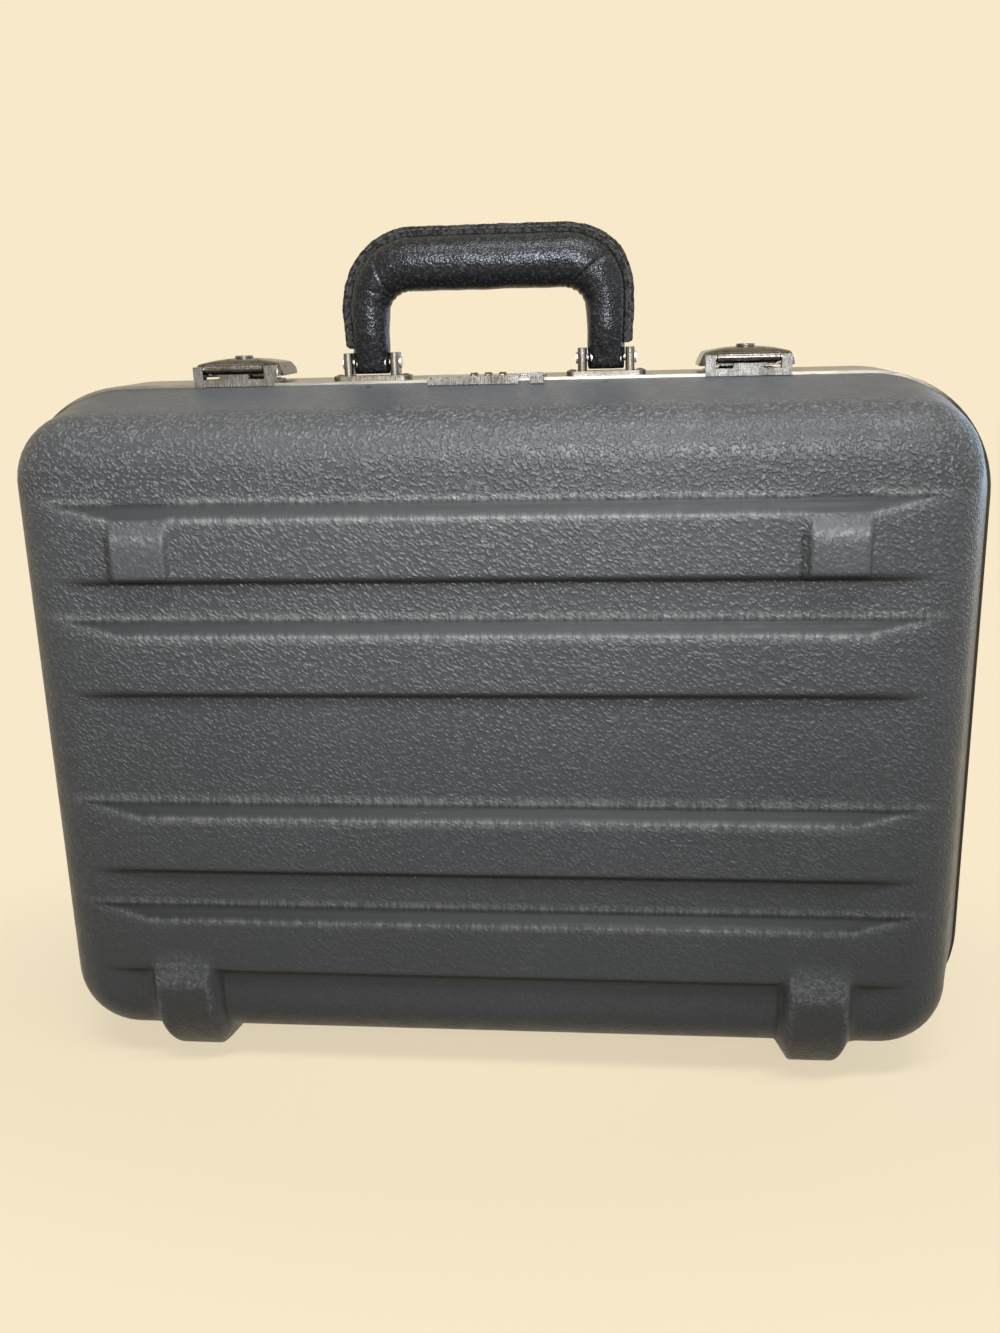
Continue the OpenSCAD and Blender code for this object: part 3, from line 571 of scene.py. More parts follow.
def shell_plastic():
    """Grained moulding: slanting strokes in relief, with painted highlight on their tops and painted shade
    between them; painted shade on the bevels, in the creases and in a pit under each bracket; dashes of
    painted highlight; wear with painted highlight.
    """
    material, tree, shader = new_material("moulded_grey", SHELL_COLOR, 0.4, Specular_IOR_Level=SHELL_SHINE,
                                          Specular_Tint=(0.92, 0.96, 1, 1))
    place = place_of(tree)
    grain, sparkle, crease_shade, wear_and_highlight, bevel = (
        node(tree, "Attribute", {"attribute_name": name}, "Fac") for name in MASKS)
    slanted = node(tree, "Mapping", {"vector_type": "TEXTURE"}, Vector=place,
                   Rotation=(0, math.radians(38), 0), Scale=(1.0, 0.75, 0.62))
    swirl = noise(place, 260, 1.0, out="Color")
    slanted_cells = cells(vector_calc("MULTIPLY_ADD", swirl, (0.0014,) * 3, slanted), 420, "SMOOTH_F1")
    round_cells = cells(vector_calc("MULTIPLY_ADD", swirl, (0.0016,) * 3, place), 560, "SMOOTH_F1")
    in_fillet = span(grain, 1.02, 1.4)
    pebbles = (span(round_cells, 0.08, 0.46, 1, 0) * in_fillet +
               span(slanted_cells, 0.1, 0.5, 1, 0) * (1.0 - in_fillet))
    strokes = span(noise(slanted, 380, 1.5, 0.5, 0.4), 0.5, 0.66)
    patches = span(noise(place, 24, 2), 0.34, 0.58, 0.75, 1)
    relief = (strokes * 0.4 + pebbles * 0.65) * (patches * grain)
    fine = noise(place, 1700, 2) * 0.10
    # Dashes of painted highlight along the plank edges, also raised a little in the relief
    dashes = span(noise(place_of(tree, (1, 0.35, 0.2)), 560, 2, 0.6, 0.2), 0.36, 0.66, 0.22, 1)
    highlight_dashes = dashes * sparkle
    bump(shader, relief + fine + highlight_dashes * 0.4, 0.6)

    # Painted shade between the pebbles and painted highlight on their tops
    gap_shade = (1.0 - pebbles) * (grain * 0.3)
    top_highlight = relief * (in_fillet * 0.16 + 0.28)
    # Wear with painted highlight, broken up by noise
    scrapes_and_highlight = wear_and_highlight * span(noise(place, 420, 3, 0.7), 0.42, 0.62, 0.06, 1)
    scuffs = span(noise(place_of(tree, (0.5, 1, 2)), 75, 5, 0.7), 0.66, 0.74)
    # Painted shade of the pit below each bracket
    from_dimple = vector_calc("DISTANCE", vector_calc("ABSOLUTE", place), tuple(v * MM for v in DIMPLE),
                              out="Value")
    pit_shade = span(from_dimple, 0.0008, 0.0018, 0.85, 0)
    color = blend(span(noise(place, 9, 3), 0.3, 0.7), tuple(c * 0.92 for c in SHELL_COLOR),
                  tuple(c * 1.06 for c in SHELL_COLOR))
    # Layers: painted shade between pebbles, painted highlight on tops, painted shade on bevels, painted
    # highlight dashes, wear with painted highlight, scuffs, painted shade in the pit and in the creases
    for share, layer in ((gap_shade, (0.016, 0.018, 0.02)), (top_highlight, (0.17, 0.178, 0.188)),
                         (bevel * 0.9, (0.026, 0.028, 0.030)), (highlight_dashes * 0.6, (0.23, 0.238, 0.236)),
                         (scrapes_and_highlight * 0.55, (0.25, 0.255, 0.26)), (scuffs * 0.14, (0.3, 0.3, 0.29)),
                         (pit_shade, (0.01, 0.01, 0.01)), (crease_shade, (0.006, 0.006, 0.007))):
        color = blend(share, color, layer)
    drive(shader, Base_Color=color, Specular_IOR_Level=SHELL_SHINE - bevel * 0.26,
          Roughness=span(noise(place, 120, 3), 0.3, 0.7, 0.36, 0.46) - relief * 0.09)
    return material


def worn_metal(name, color, dark, roughness, grime=0.4):
    """Plated or satin metal with fine scratches, dull patches and darker tarnish."""
    material, tree, shader = new_material(name, color, roughness, 1.0)
    place = place_of(tree)
    scratches = ridges(noise(place_of(tree, (1, 1, 0.08)), 900, 4, 0.7), 0.05)
    spots = span(noise(place, 330, 4, 0.65), 0.44, 0.68)
    tarnish = span(noise(place, 90, 3), 0.35, 0.75, 0, grime)
    drive(shader, Base_Color=blend(spots * (grime * 0.6), blend(tarnish, color, dark), dark),
          Roughness=spots * 0.16 + scratches * 0.12 + roughness)
    bump(shader, scratches * 0.4 + noise(place, 240, 3), 0.05, 0.5)
    return material


def satin_aluminium():
    """Warm anodised sheet drawn along its length; its front rim is painted lighter as a painted highlight,
    and darker round the ends as painted shade.
    """
    material, tree, shader = new_material("satin_aluminium", SATIN_COLOR, 0.34, 1.0)
    place = place_of(tree)
    lines = noise(place_of(tree, (0.06, 1, 1)), 1400, 3, 0.6)
    patches = span(noise(place, 60, 4, 0.6), 0.35, 0.7)
    across, depth = (node(tree, "SeparateXYZ", out=axis, _0=vector_calc("ABSOLUTE", place)) for axis in "XY")
    # The front rim is painted lighter as a painted highlight, and darker round the ends as painted shade
    edge = blend(span(across, 0.196, 0.214, 1, 0), (0.05, 0.047, 0.044), (0.26, 0.252, 0.235))
    lit_rim = span(depth, (VALANCE_D - 0.35) * MM, (VALANCE_D - 0.1) * MM)
    drive(shader, Base_Color=blend(lit_rim, blend(patches * 0.4, SATIN_COLOR, (0.15, 0.14, 0.125)), edge),
          Roughness=span(lines, 0.3, 0.7, 0.27, 0.45))
    bump(shader, lines + noise(place, 150, 3), 0.03, 0.5)
    return material


def leatherette(name, color, cut_edge=False):
    """Pebbled black leathercloth; the welt's cut edge is rougher and paler."""
    material, tree, shader = new_material(name, color, 0.42, Specular_IOR_Level=0.16 if cut_edge else 0.32,
                                          Specular_Tint=(0.68, 0.74, 0.86, 1))
    place = place_of(tree)
    wrinkles = ridges(noise(place, 380, 2, 0.5, 0.8), 0.05)
    fibres = noise(place, 1800, 3, 0.7)
    if cut_edge:
        pebbles = cells(place, 640, "SMOOTH_F1")
        relief, depth = pebbles * -1.0 - wrinkles * 0.18 + fibres * 1.2, 0.42
        pale, high = span(pebbles, 0.25, 0.6, 0, 0.7), (0.042, 0.043, 0.038)
    else:
        relief, depth = cells(place, 780) * -1.0 - wrinkles * 0.18, 0.17
        # On the face, the pale specks are dust and also painted highlight for the sparkle of the sheen
        pale, high = span(noise(place, 620, 3, 0.7), 0.5, 0.66, 0, 0.8), (0.03, 0.031, 0.034)
    bump(shader, relief, depth)
    drive(shader, Base_Color=blend(pale, color, high),
          Roughness=span(fibres, 0.3, 0.7, *((0.6, 0.8) if cut_edge else (0.2, 0.34))))
    return material


def dial_plastic():
    """Black plastic with dust."""
    material, tree, shader = new_material("dial_black", (0.03, 0.03, 0.03), 0.32)
    place = place_of(tree)
    dust = span(noise(place, 900, 4, 0.7), 0.5, 0.7, 0, 0.3)
    drive(shader, Base_Color=blend(dust, (0.022, 0.021, 0.02), (0.11, 0.1, 0.09)))
    bump(shader, noise(place, 1500, 2), 0.03, 0.4)
    return material


def figure_paint():
    """Cream paint, worn through in spots."""
    material, tree, shader = new_material("figure_cream", CREAM, 0.5)
    wear = span(noise(place_of(tree), 1600, 3, 0.7), 0.45, 0.7, 0, 0.5)
    drive(shader, Base_Color=blend(wear, CREAM, (0.3, 0.28, 0.24)))
    return material


def open_cell_foam():
    """Charcoal foam: pores over soft lumps, with painted shade in the pores."""
    material, tree, shader = new_material("foam_charcoal", (0.03, 0.03, 0.033), 0.95, Specular_IOR_Level=0.15)
    place = place_of(tree)
    pores, lumps = cells(place, 1100), cells(place, 420)
    # Painted shade in the pores
    pore_shade = span(pores, 0.15, 0.6, 1, 0)
    drive(shader, Base_Color=blend(pore_shade, (0.045, 0.045, 0.049), (0.014, 0.014, 0.016)))
    bump(shader, pores * 0.7 + lumps * 0.5, 0.6, 0.9)
    return material


SHELL_PLASTIC = shell_plastic()
ALUMINIUM = satin_aluminium()
CHROME = worn_metal("latch_chrome", (0.21, 0.215, 0.225), (0.055, 0.053, 0.05), 0.2, 0.6)
# The latch levers' chrome, painted darker than the other chrome as a painted reflection of a dark room
SHADED_CHROME = worn_metal("lever_chrome", (0.135, 0.13, 0.125), (0.035, 0.031, 0.028), 0.16, 0.8)
NICKEL = worn_metal("dull_nickel", (0.19, 0.18, 0.168), (0.06, 0.054, 0.048), 0.27, 0.55)
ZINC = worn_metal("zinc_steel", (0.50, 0.495, 0.48), (0.26, 0.25, 0.235), 0.36, 0.4)
LEATHER = leatherette("leatherette_black", (0.0045, 0.0048, 0.006))
WELT = leatherette("leatherette_cut_edge", (0.008, 0.0085, 0.0085), cut_edge=True)
THREAD, _, _ = new_material("thread_black", (0.035, 0.035, 0.038), 0.7)
DIAL_BLACK = dial_plastic()
FIGURES = figure_paint()
FOAM = open_cell_foam()

front_shell = build_shell("front_shell_moulding", -1, SHELL_PLASTIC, "root")
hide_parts("front_shell")
back_shell = build_shell("back_shell_moulding", 1, SHELL_PLASTIC, "lid")
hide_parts("back_shell")

# ---- Carried-over CAD pieces: soft edges and their finish ----

def dress(names, material, width=0.0, segments=2):
    """Give CAD nodes a finish, and round their sharp edges by a width in millimetres."""
    for name in names:
        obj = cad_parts[name]
        obj.data.materials.clear()
        obj.data.materials.append(material)
        if width:
            modifier = obj.modifiers.new("edges", "BEVEL")
            modifier.width = width * MM
            modifier.segments = segments
            modifier.limit_method = "ANGLE"
            modifier.angle_limit = math.radians(40)
            modifier.harden_normals = True


def both(*names):
    return [f"{side}_{name}" for side in ("left", "right") for name in names]


dress(("front_valance", "back_valance"), ALUMINIUM, 0.6, 4)
dress(both("hinge_front_leaf", "hinge_back_leaf"), ZINC, 0.25)
dress(both("hinge_pin", "handle_pin", "latch_pin") + ["lock_case", "lock_bolt", "lock_strike", "dial_shaft",
                                                      "handle_core"], ZINC, 0.12)
dress(("front_hinge_rivets", "back_hinge_rivets", "strike_rivets"), ZINC)
dress(both("latch_base"), CHROME, 0.4, 3)
dress(both("catch", "key_ring"), CHROME, 0.2)
dress(("latch_rivets", "catch_rivets"), CHROME)
dress(("lock_plate",), CHROME, 0.25, 3)
dress(both("handle_bracket"), NICKEL, 0.45, 3)
dress(both("key_barrel") + ["bracket_rivets"], NICKEL, 0.15)
dress(("dial_1", "dial_2", "dial_3"), DIAL_BLACK, 0.12)

# ---- Handle: padded tube, welt and stitches ----

bracket_low, bracket_high = box_mm("left_handle_bracket")
grip_low, grip_high = box_mm("handle_grip")
PIN_Z = TOP_Z + 8
GRIP_R = (grip_high[1] - grip_low[1]) / 2
GRIP_Z = grip_high[2] - GRIP_R
HANDLE_Y = (grip_high[1] + grip_low[1]) / 2
LEG_X = -(bracket_high[0] + bracket_low[0]) / 2
BEND_R = 22
LEG_TOP = GRIP_Z - BEND_R - PIN_Z
WELT_W, WELT_HALF_T = 3.6, 1.5
# Height above the pin, half width, half depth and squareness of a leg's section
LEG_SECTIONS = np.array([(-5.2, 8.0, 2.2, 3.2), (-4, 8.4, 4.1, 3.2), (-2, 8.5, 5.3, 3.0), (0, 8.5, 5.7, 2.8),
                         (4, 8.6, 6.8, 2.4), (8, 8.7, 8.2, 2.1), (13, 8.9, 9.0, 2), (LEG_TOP, 9.4, 9.4, 2)])


def handle_path(leg_start, leg_step, bend_step, top_step):
    """Stations along the U: x, z, outward x and z, height above the pin, and share of the bend (0 to 1)."""
    leg = np.append(np.arange(leg_start, LEG_TOP, leg_step), LEG_TOP)
    turn = np.linspace(0, 1, round(BEND_R * math.pi / 2 / bend_step) + 1)[1:]
    flat = np.linspace(-1, 0, round((LEG_X - BEND_R) / top_step) + 1)[1:]
    rows_ = [(-LEG_X, PIN_Z + h, -1, 0, h, 0) for h in leg]
    for t in turn:
        a = t * math.pi / 2
        rows_.append((-LEG_X + BEND_R - BEND_R * math.cos(a), GRIP_Z - BEND_R + BEND_R * math.sin(a),
                      -math.cos(a), math.sin(a), LEG_TOP + 1, t))
    rows_ += [((LEG_X - BEND_R) * f, GRIP_Z, 0, 1, LEG_TOP + 1, 1) for f in flat]
    half = np.array(rows_)
    other = half[-2::-1].copy()
    other[:, [0, 2]] *= -1
    return np.concatenate([half, other])


def leg_section(h, t):
    """Half width, half depth and squareness at height h up a leg and share t round its bend."""
    half_w, half_d, power = (np.interp(h, LEG_SECTIONS[:, 0], LEG_SECTIONS[:, i]) for i in (1, 2, 3))
    swell = (GRIP_R - LEG_SECTIONS[-1, 1]) * t * t * (3 - 2 * t)
    return half_w + swell, half_d + swell, power


def bend_fullness(x, t):
    """Extra padding in millimetres on the outside of the bends, more at the right one, as in the photo."""
    return np.where(x > 0, 2.7, 0.3) * np.sin(t * math.pi) ** 2


def rough(points, scale, amount):
    """Smooth random offset for points in millimetres."""
    return np.array([amount * vector_noise.noise(Vector(p) / scale) for p in points])


def fold(place_, at, width, depth):
    return -depth * np.exp(-((place_ - at) / width) ** 2)


def swept(path, out, side):
    """Points beside a path: out along its outward direction, side along y."""
    x, z, ox, oz = (path[:, i:i + 1] for i in range(4))
    return np.stack([x + ox * out, HANDLE_Y + side, z + oz * out], -1).reshape(-1, 3)


def tube_faces(rows_, cols):
    """Faces of a tube with both ends closed."""
    faces = grid_faces(rows_, cols, closed=True)
    faces.append(list(range(cols))[::-1])
    faces.append([(rows_ - 1) * cols + c for c in range(cols)])
    return faces


def build_grip():
    """Padded tube with its seams, creases and gathers."""
    path = handle_path(-5.2, 0.9, 0.5, 0.9)
    angle = np.linspace(0, 2 * math.pi, 73)[:-1]
    x, _, ox, oz, h, t = (path[:, i:i + 1] for i in range(6))
    half_w, half_d, power = leg_section(h, t)
    c, s = np.cos(angle)[None, :], np.sin(angle)[None, :]
    out = half_w * np.sign(c) * np.abs(c) ** (2 / power)
    out = out + bend_fullness(x, t) * np.clip(c, 0, 1)
    side = half_d * np.sign(s) * np.abs(s) ** (2 / power)
    # Seam grooves beside the welt, the flat between them, and puckers along the seam
    seam = np.clip(h / 10, 0, 1) * (c > 0)
    length = np.arange(len(path))[:, None]
    push = seam * fold(np.abs(side), WELT_HALF_T + 1.4, 1.3, 0.8)
    push = push + seam * np.exp(-((np.abs(side) - 4.5) / 2.5) ** 2) * 0.12 * np.sin(length * 1.9)
    # Creases across the bends, on the front and the back
    front = np.clip(-s * 2.2, 0, 1) * np.clip((1.35 - np.abs(angle - 1.5 * math.pi)[None, :]) * 2, 0, 1)
    back = np.clip(s * 2.2, 0, 1) * np.clip((1.2 - np.abs(angle - 0.5 * math.pi)[None, :]) * 2, 0, 1)
    left, right = (x < 0), (x > 0)
    push = push + right * front * fold(t + 0.07 * c, 0.56, 0.022, 0.75)
    push = push + right * front * fold(t - 0.10 * c, 0.80, 0.020, 0.45) * (c < -0.1)
    push = push + left * front * fold(t - 0.12 * c, 0.52, 0.024, 0.6)
    push = push + left * front * fold(t + 0.05 * c, 0.30, 0.018, 0.35) * (c < 0.2)
    push = push + back * fold(t + 0.09 * c, 0.5, 0.024, 0.6)
    # Gathers where the inner side of a bend is squeezed, and at the pinned ends
    inner = np.clip(-c, 0, 1) ** 2 * np.clip(np.sin(t * math.pi), 0, 1)
    push = push + inner * 0.22 * np.sin(t * 38 + 2 * s)
    push = push + np.clip((9 - h) / 8, 0, 1) * 0.18 * np.sin(angle[None, :] * 9 + h * 0.7)
    scale = 1 + push / np.hypot(out, side).clip(1)
    out, side = out * scale, side * scale
    verts = swept(path, out, side)
    normals = np.stack([ox * c, s + 0 * ox, oz * c], -1).reshape(-1, 3)
    verts = verts + normals * (rough(verts, 9, 0.3) + rough(verts, 3.1, 0.05))[:, None]
    grip = make_object("handle_grip_leather", verts, tube_faces(len(path), len(angle)), LEATHER, "handle")
    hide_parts("handle_grip")


def build_welt():
    """Sewn edge along the outside: two layers with a line between them."""
    path = handle_path(6.5, 0.8, 0.6, 0.8)
    x, _, ox, oz, h, t = (path[:, i:i + 1] for i in range(6))
    half_w = leg_section(h, t)[0] + bend_fullness(x, t)
    rise = WELT_W * np.clip((h - 5.5) / 2, 0.35, 1)
    lower = [(-1.6, -1), (0.1, -1), (0.55, -0.99), (0.86, -0.86), (0.99, -0.6), (1.0, -0.25)]
    section = np.array(lower + [(0.94, 0)] + [(a, -b) for a, b in lower[::-1]])
    out = half_w + rise * section[None, :, 0]
    side = WELT_HALF_T * section[None, :, 1] + 0 * x
    verts = swept(path, out, side)
    outward = np.repeat(np.stack([ox[:, 0], 0 * ox[:, 0], oz[:, 0]], -1), len(section), axis=0)
    verts = verts + outward * (rough(verts, 1.1, 0.28) + rough(verts, 5, 0.3))[:, None]
    verts[:, 1] += rough(verts, 2.2, 0.16)
    welt = make_object("handle_welt_edge", verts, tube_faces(len(path), len(section)), WELT, "handle")
    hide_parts("handle_welt")


def capsules(ends, radius, sides=6):
    """One mesh of short round bars between pairs of points, fatter in the middle."""
    verts, faces = [], []
    for a, b in ends:
        axis = (b - a) / np.linalg.norm(b - a)
        u = np.cross(axis, [0.3, 0.9, 0.2])
        u /= np.linalg.norm(u)
        v = np.cross(axis, u)
        first = len(verts)
        for share, size in ((0, 0.35), (0.2, 0.9), (0.5, 1), (0.8, 0.9), (1, 0.35)):
            for k in range(sides):
                turn = 2 * math.pi * k / sides
                verts.append(a + (b - a) * share + radius * size * (u * math.cos(turn) + v * math.sin(turn)))
        faces += grid_faces(5, sides, closed=True, start=first)
        faces.append([first + k for k in range(sides)][::-1])
        faces.append([first + 4 * sides + k for k in range(sides)])
    return np.array(verts), faces


def build_stitches():
    """A run of stitches on each side of the welt."""
    path = handle_path(9, 0.6, 0.6, 0.6)
    half_w = leg_section(path[:, 4], path[:, 5])[0] + bend_fullness(path[:, 0], path[:, 5])
    out = half_w + WELT_W * 0.52
    line = np.stack([path[:, 0] + path[:, 2] * out, 0 * out, path[:, 1] + path[:, 3] * out], -1)
    ends = []
    for i in range(2, len(line) - 5, 6):
        for side in (-1, 1):
            shift = np.array([0, HANDLE_Y + side * (WELT_HALF_T + 0.12), 0])
            ends.append((line[i] + shift, line[i + 4] + shift))
    verts, faces = capsules(ends, 0.34)
    make_object("handle_stitches", verts, faces, THREAD, "handle")


build_grip()
build_welt()
build_stitches()

# ---- Latch levers: domed plates with bent-down ends ----

LATCH_X = 120.5
LEVER_HALF_W, LEVER_FRONT, LEVER_BACK = 22.3, -16, 15.5
LEVER_LOW, LEVER_H, LEVER_T = 3, 11.6, 1.3
CROWN_Y, CROWN_R, CORNER_R = -4, 75, 5
BEND_X = 19.8
LATCH_AXIS_Y, PIN_H, ROLL_R, NECK_HALF_W = -20, 6.8, 2.2, 14.4
KEY_Y, BARREL_R, BOSS_R = -3, 3.05, 4.6


def lever_height(x, y):
    """Height of a lever's outside above the valance."""
    half = np.where(y < CROWN_Y, CROWN_Y - LEVER_FRONT + 2, LEVER_BACK - CROWN_Y)
    arch = LEVER_LOW + (LEVER_H - LEVER_LOW) * np.sqrt(np.clip(1 - ((y - CROWN_Y) / half) ** 2, 0, 1))
    crown = LEVER_H - x ** 2 / (2 * CROWN_R)
    crown = smooth_min(crown, LEVER_H - BEND_X ** 2 / (2 * CROWN_R) - (np.abs(x) - BEND_X) * 2.2, 0.8)
    return np.maximum(smooth_min(arch, crown, 0.9), LEVER_LOW)


def lever_plate():
    """Closed sheet: outside grid, inside grid, joined round the edge."""
    across = np.concatenate([np.linspace(-1, -0.8, 11), np.linspace(-0.8, 0.8, 33)[1:-1],
                             np.linspace(0.8, 1, 11)])
    down = np.concatenate([np.linspace(0, 0.06, 5), np.linspace(0.06, 0.9, 26)[1:],
                           np.linspace(0.9, 1, 8)[1:]])
    cols, rows_ = len(across), len(down)

    def surface(inset):
        half, front, back = LEVER_HALF_W - inset, LEVER_FRONT + inset, LEVER_BACK - inset
        x = half * across[None, :] + 0 * down[:, None]
        corner = CORNER_R - inset
        over = np.clip(np.abs(x) - (half - corner), 0, corner)
        round_off = corner - np.sqrt(corner ** 2 - over ** 2)
        low, high = front + round_off, back - round_off
        y = low + (high - low) * down[:, None]
        full_y = LEVER_FRONT + (LEVER_BACK - LEVER_FRONT) * (y - front) / (back - front)
        height = lever_height(x * LEVER_HALF_W / half, full_y) - inset
        height = height - 0.25 * (down[:, None] < 0.001)
        return np.stack([x, y, height], -1).reshape(-1, 3)

    outside, inside = surface(0), surface(LEVER_T)
    inside[:, 2] = np.maximum(inside[:, 2], LEVER_LOW + 0.05)
    ring = grid_border(rows_, cols)
    skirt_out, skirt_in = outside[ring].copy(), inside[ring].copy()
    skirt_out[:, 2] = LEVER_LOW
    skirt_in[:, 2] = LEVER_LOW
    verts = np.concatenate([outside, inside, skirt_out, skirt_in])
    inner, out_ring = len(outside), 2 * len(outside)
    in_ring, count = 2 * len(outside) + len(ring), len(ring)
    faces = grid_faces(rows_, cols)
    faces += [f[::-1] for f in grid_faces(rows_, cols, start=inner)]
    for i in range(count):
        j = (i + 1) % count
        faces.append([ring[i], out_ring + i, out_ring + j, ring[j]])
        faces.append([out_ring + i, in_ring + i, in_ring + j, out_ring + j])
        faces.append([in_ring + i, inner + ring[i], inner + ring[j], in_ring + j])
    return verts, faces


def lathe(profile, sides, axis, middle):
    """Turned solid closed at both ends; profile rows are (along, radius)."""
    profile = np.array(profile, float)
    turn = np.linspace(0, 2 * math.pi, sides + 1)[:-1]
    along = np.repeat(profile[:, 0], sides)
    u = np.outer(profile[:, 1], np.cos(turn)).ravel()
    v = np.outer(profile[:, 1], np.sin(turn)).ravel()
    order = {"x": (along, u, v), "z": (u, v, along)}[axis]
    verts = np.stack(order, -1) + np.array(middle)
    return verts, tube_faces(len(profile), sides)


def ring_lathe(profile, sides, axis, middle):
    """Turned ring; the profile is a closed loop of (along, radius)."""
    verts, _ = lathe(profile, sides, axis, middle)
    return verts, grid_faces(len(profile) + 1, sides, closed=True, wrap=len(profile) * sides)


def rounded_box(low, high, edge=0.3):
    """Box with its edges cut at 45 degrees, as 24 points."""
    low, high = np.array(low, float), np.array(high, float)
    mesh = bmesh.new()
    bmesh.ops.create_cube(mesh, size=1)
    for v in mesh.verts:
        v.co = Vector(((low + high) / 2 + np.array(v.co) * (high - low)).tolist())
    bmesh.ops.bevel(mesh, geom=mesh.edges[:], offset=edge, segments=2, affect="EDGES")
    verts = np.array([v.co for v in mesh.verts])
    faces = [[v.index for v in f.verts] for f in mesh.faces]
    mesh.free()
    return verts, faces


def joined(parts):
    """One mesh from several (verts, faces)."""
    verts, faces, start = [], [], 0
    for v, f in parts:
        verts.append(v)
        faces += [[i + start for i in face] for face in f]
        start += len(v)
    return np.concatenate(verts), faces


def build_lever(side):
    """Domed plate with its rolled hinge, the neck between them, and the boss round the key barrel."""
    half_roll = [(NECK_HALF_W - 0.5, ROLL_R), (NECK_HALF_W, 1.7), (NECK_HALF_W, 0.01)]
    roll = [(-along, radius) for along, radius in half_roll[::-1]] + half_roll
    boss_low, boss_high = LEVER_H - 3.4, LEVER_H - 0.1
    boss = [(boss_low, BARREL_R), (boss_low, BOSS_R), (boss_high, BOSS_R), (boss_high, BARREL_R)]
    parts = [lever_plate(),
             lathe(roll, 24, "x", (0, LATCH_AXIS_Y, PIN_H)),
             rounded_box((-NECK_HALF_W, LATCH_AXIS_Y, PIN_H - 0.6),
                         (NECK_HALF_W, LEVER_FRONT + LEVER_T, PIN_H + 0.9)),
             ring_lathe(boss, 32, "z", (0, KEY_Y, 0))]
    verts, faces = joined(parts)
    verts = verts + np.array([LATCH_X * (1 if side == "right" else -1), 0, TOP_Z])
    lever = make_object(f"{side}_latch_lever_plate", verts, faces, SHADED_CHROME, f"{side}_latch")
    smooth_by_angle(lever, 38)
    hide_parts(f"{side}_latch_lever")


build_lever("left")
build_lever("right")

# ---- Release slide with its ribs, and the figures on the dials ----

LOCK_Y, DIAL_R, DIAL_PITCH = -12.2, 8.2, 6.8
DIAL_Z = TOP_Z + 2.4 - DIAL_R


def build_slide():
    """Pushed button: finger ribs across its front and top, a flat tail and a stem into the lock."""
    low, high = box_mm("lock_slide")
    front, back = low[1], box_mm("lock_plate")[0][1] + 2
    ribs, tail_y = 6, -11
    pitch = (high[0] - low[0]) / ribs
    bottom, top = low[2] if low[2] > TOP_Z - 6 else TOP_Z - 2.5, high[2]
    parts = [rounded_box((low[0], front + 0.3, bottom), (high[0], back, top - 0.3), 0.2)]
    for i in range(ribs):
        x = low[0] + (i + 0.5) * pitch
        parts.append(rounded_box((x - pitch * 0.3, front, bottom + 0.15),
                                 (x + pitch * 0.3, back - 0.4, top), 0.16))
    parts.append(rounded_box((low[0], back - 0.3, TOP_Z + 0.1), (high[0], tail_y, TOP_Z + 1.1), 0.15))
    stem_x, stem_half = (low[0] + high[0]) / 2 - 1, 1.7
    parts.append(rounded_box((stem_x - stem_half, -14, TOP_Z - 14.6),
                             (stem_x + stem_half, tail_y, TOP_Z + 0.2), 0.15))
    verts, faces = joined(parts)
    slide = make_object("lock_slide_button", verts, faces, CHROME, "slide")
    smooth_by_angle(slide, 30)
    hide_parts("lock_slide")


def figure_mesh(text, size):
    """Flat figure as points (x, y, height) and faces."""
    curve = bpy.data.curves.new("figure", "FONT")
    curve.body = text
    curve.size = size
    curve.align_x = "CENTER"
    curve.resolution_u = 3
    curve.extrude = 0.5
    holder = linked("figure", curve)
    mesh = evaluated_mesh(holder)
    verts = np.array([v.co for v in mesh.vertices])
    faces = [list(p.vertices) for p in mesh.polygons]
    bpy.data.objects.remove(holder)
    bpy.data.curves.remove(curve)
    bpy.data.meshes.remove(mesh)
    verts[:, 1] -= (verts[:, 1].max() + verts[:, 1].min()) / 2
    return verts, faces


def build_figures():
    """Figures 0 to 9 round each dial, wrapped on its rim; they stand a hair above it."""
    shapes = [figure_mesh(str(n), 3.6) for n in range(10)]
    for dial in (1, 2, 3):
        parts = []
        for n, (verts, faces) in enumerate(shapes):
            angle = verts[:, 1] / DIAL_R + math.radians(36 * (n - 3 * dial))
            radius = DIAL_R + 0.05 + np.where(verts[:, 2] > 0, 0, -0.2)
            x = (dial - 2) * DIAL_PITCH + verts[:, 0]
            y = LOCK_Y + radius * np.sin(angle)
            z = DIAL_Z + radius * np.cos(angle)
            parts.append((np.stack([x, y, z], -1), faces))
        verts, faces = joined(parts)
        make_object(f"dial_{dial}_figures", verts, faces, FIGURES, f"dial_{dial}",
                    smooth=False)


build_slide()
build_figures()

# ---- Foam: fitted base with the laptop's bay, and an egg-crate pad in the lid ----

FOAM_INSET = WALL + 0.4
FOAM_EDGE = 6
FOAM_POINTS = 360
BAY_HALF_W, BAY_HALF_H, BAY_DEPTH, BAY_R = 181, 126, 45, 12
LOCK_ROOM = 1.6


def foam_ring(half_w, half_h, radius, depth, count):
    """Rounded rectangle of evenly shared points at one depth."""
    xs, zs = half_w - radius, half_h - radius
    sides = [(2 * zs, xs, zs), (2 * xs, -xs, zs), (2 * zs, -xs, -zs), (2 * xs, xs, -zs)]
    bend = radius * math.pi / 2
    total, points = 4 * (xs + zs + bend), []
    for i in range(count):
        at, turn = total * i / count, 0
        while at > sides[turn][0] + bend:
            at -= sides[turn][0] + bend
            turn += 1
        length, x, z = sides[turn]
        a = math.pi / 2 * turn + max(at - length, 0) / radius
        back = max(length - at, 0)
        points.append((x + radius * math.cos(a) + back * math.sin(a), depth,
                       z + radius * math.sin(a) - back * math.cos(a) + MID_Z))
    return np.array(points)


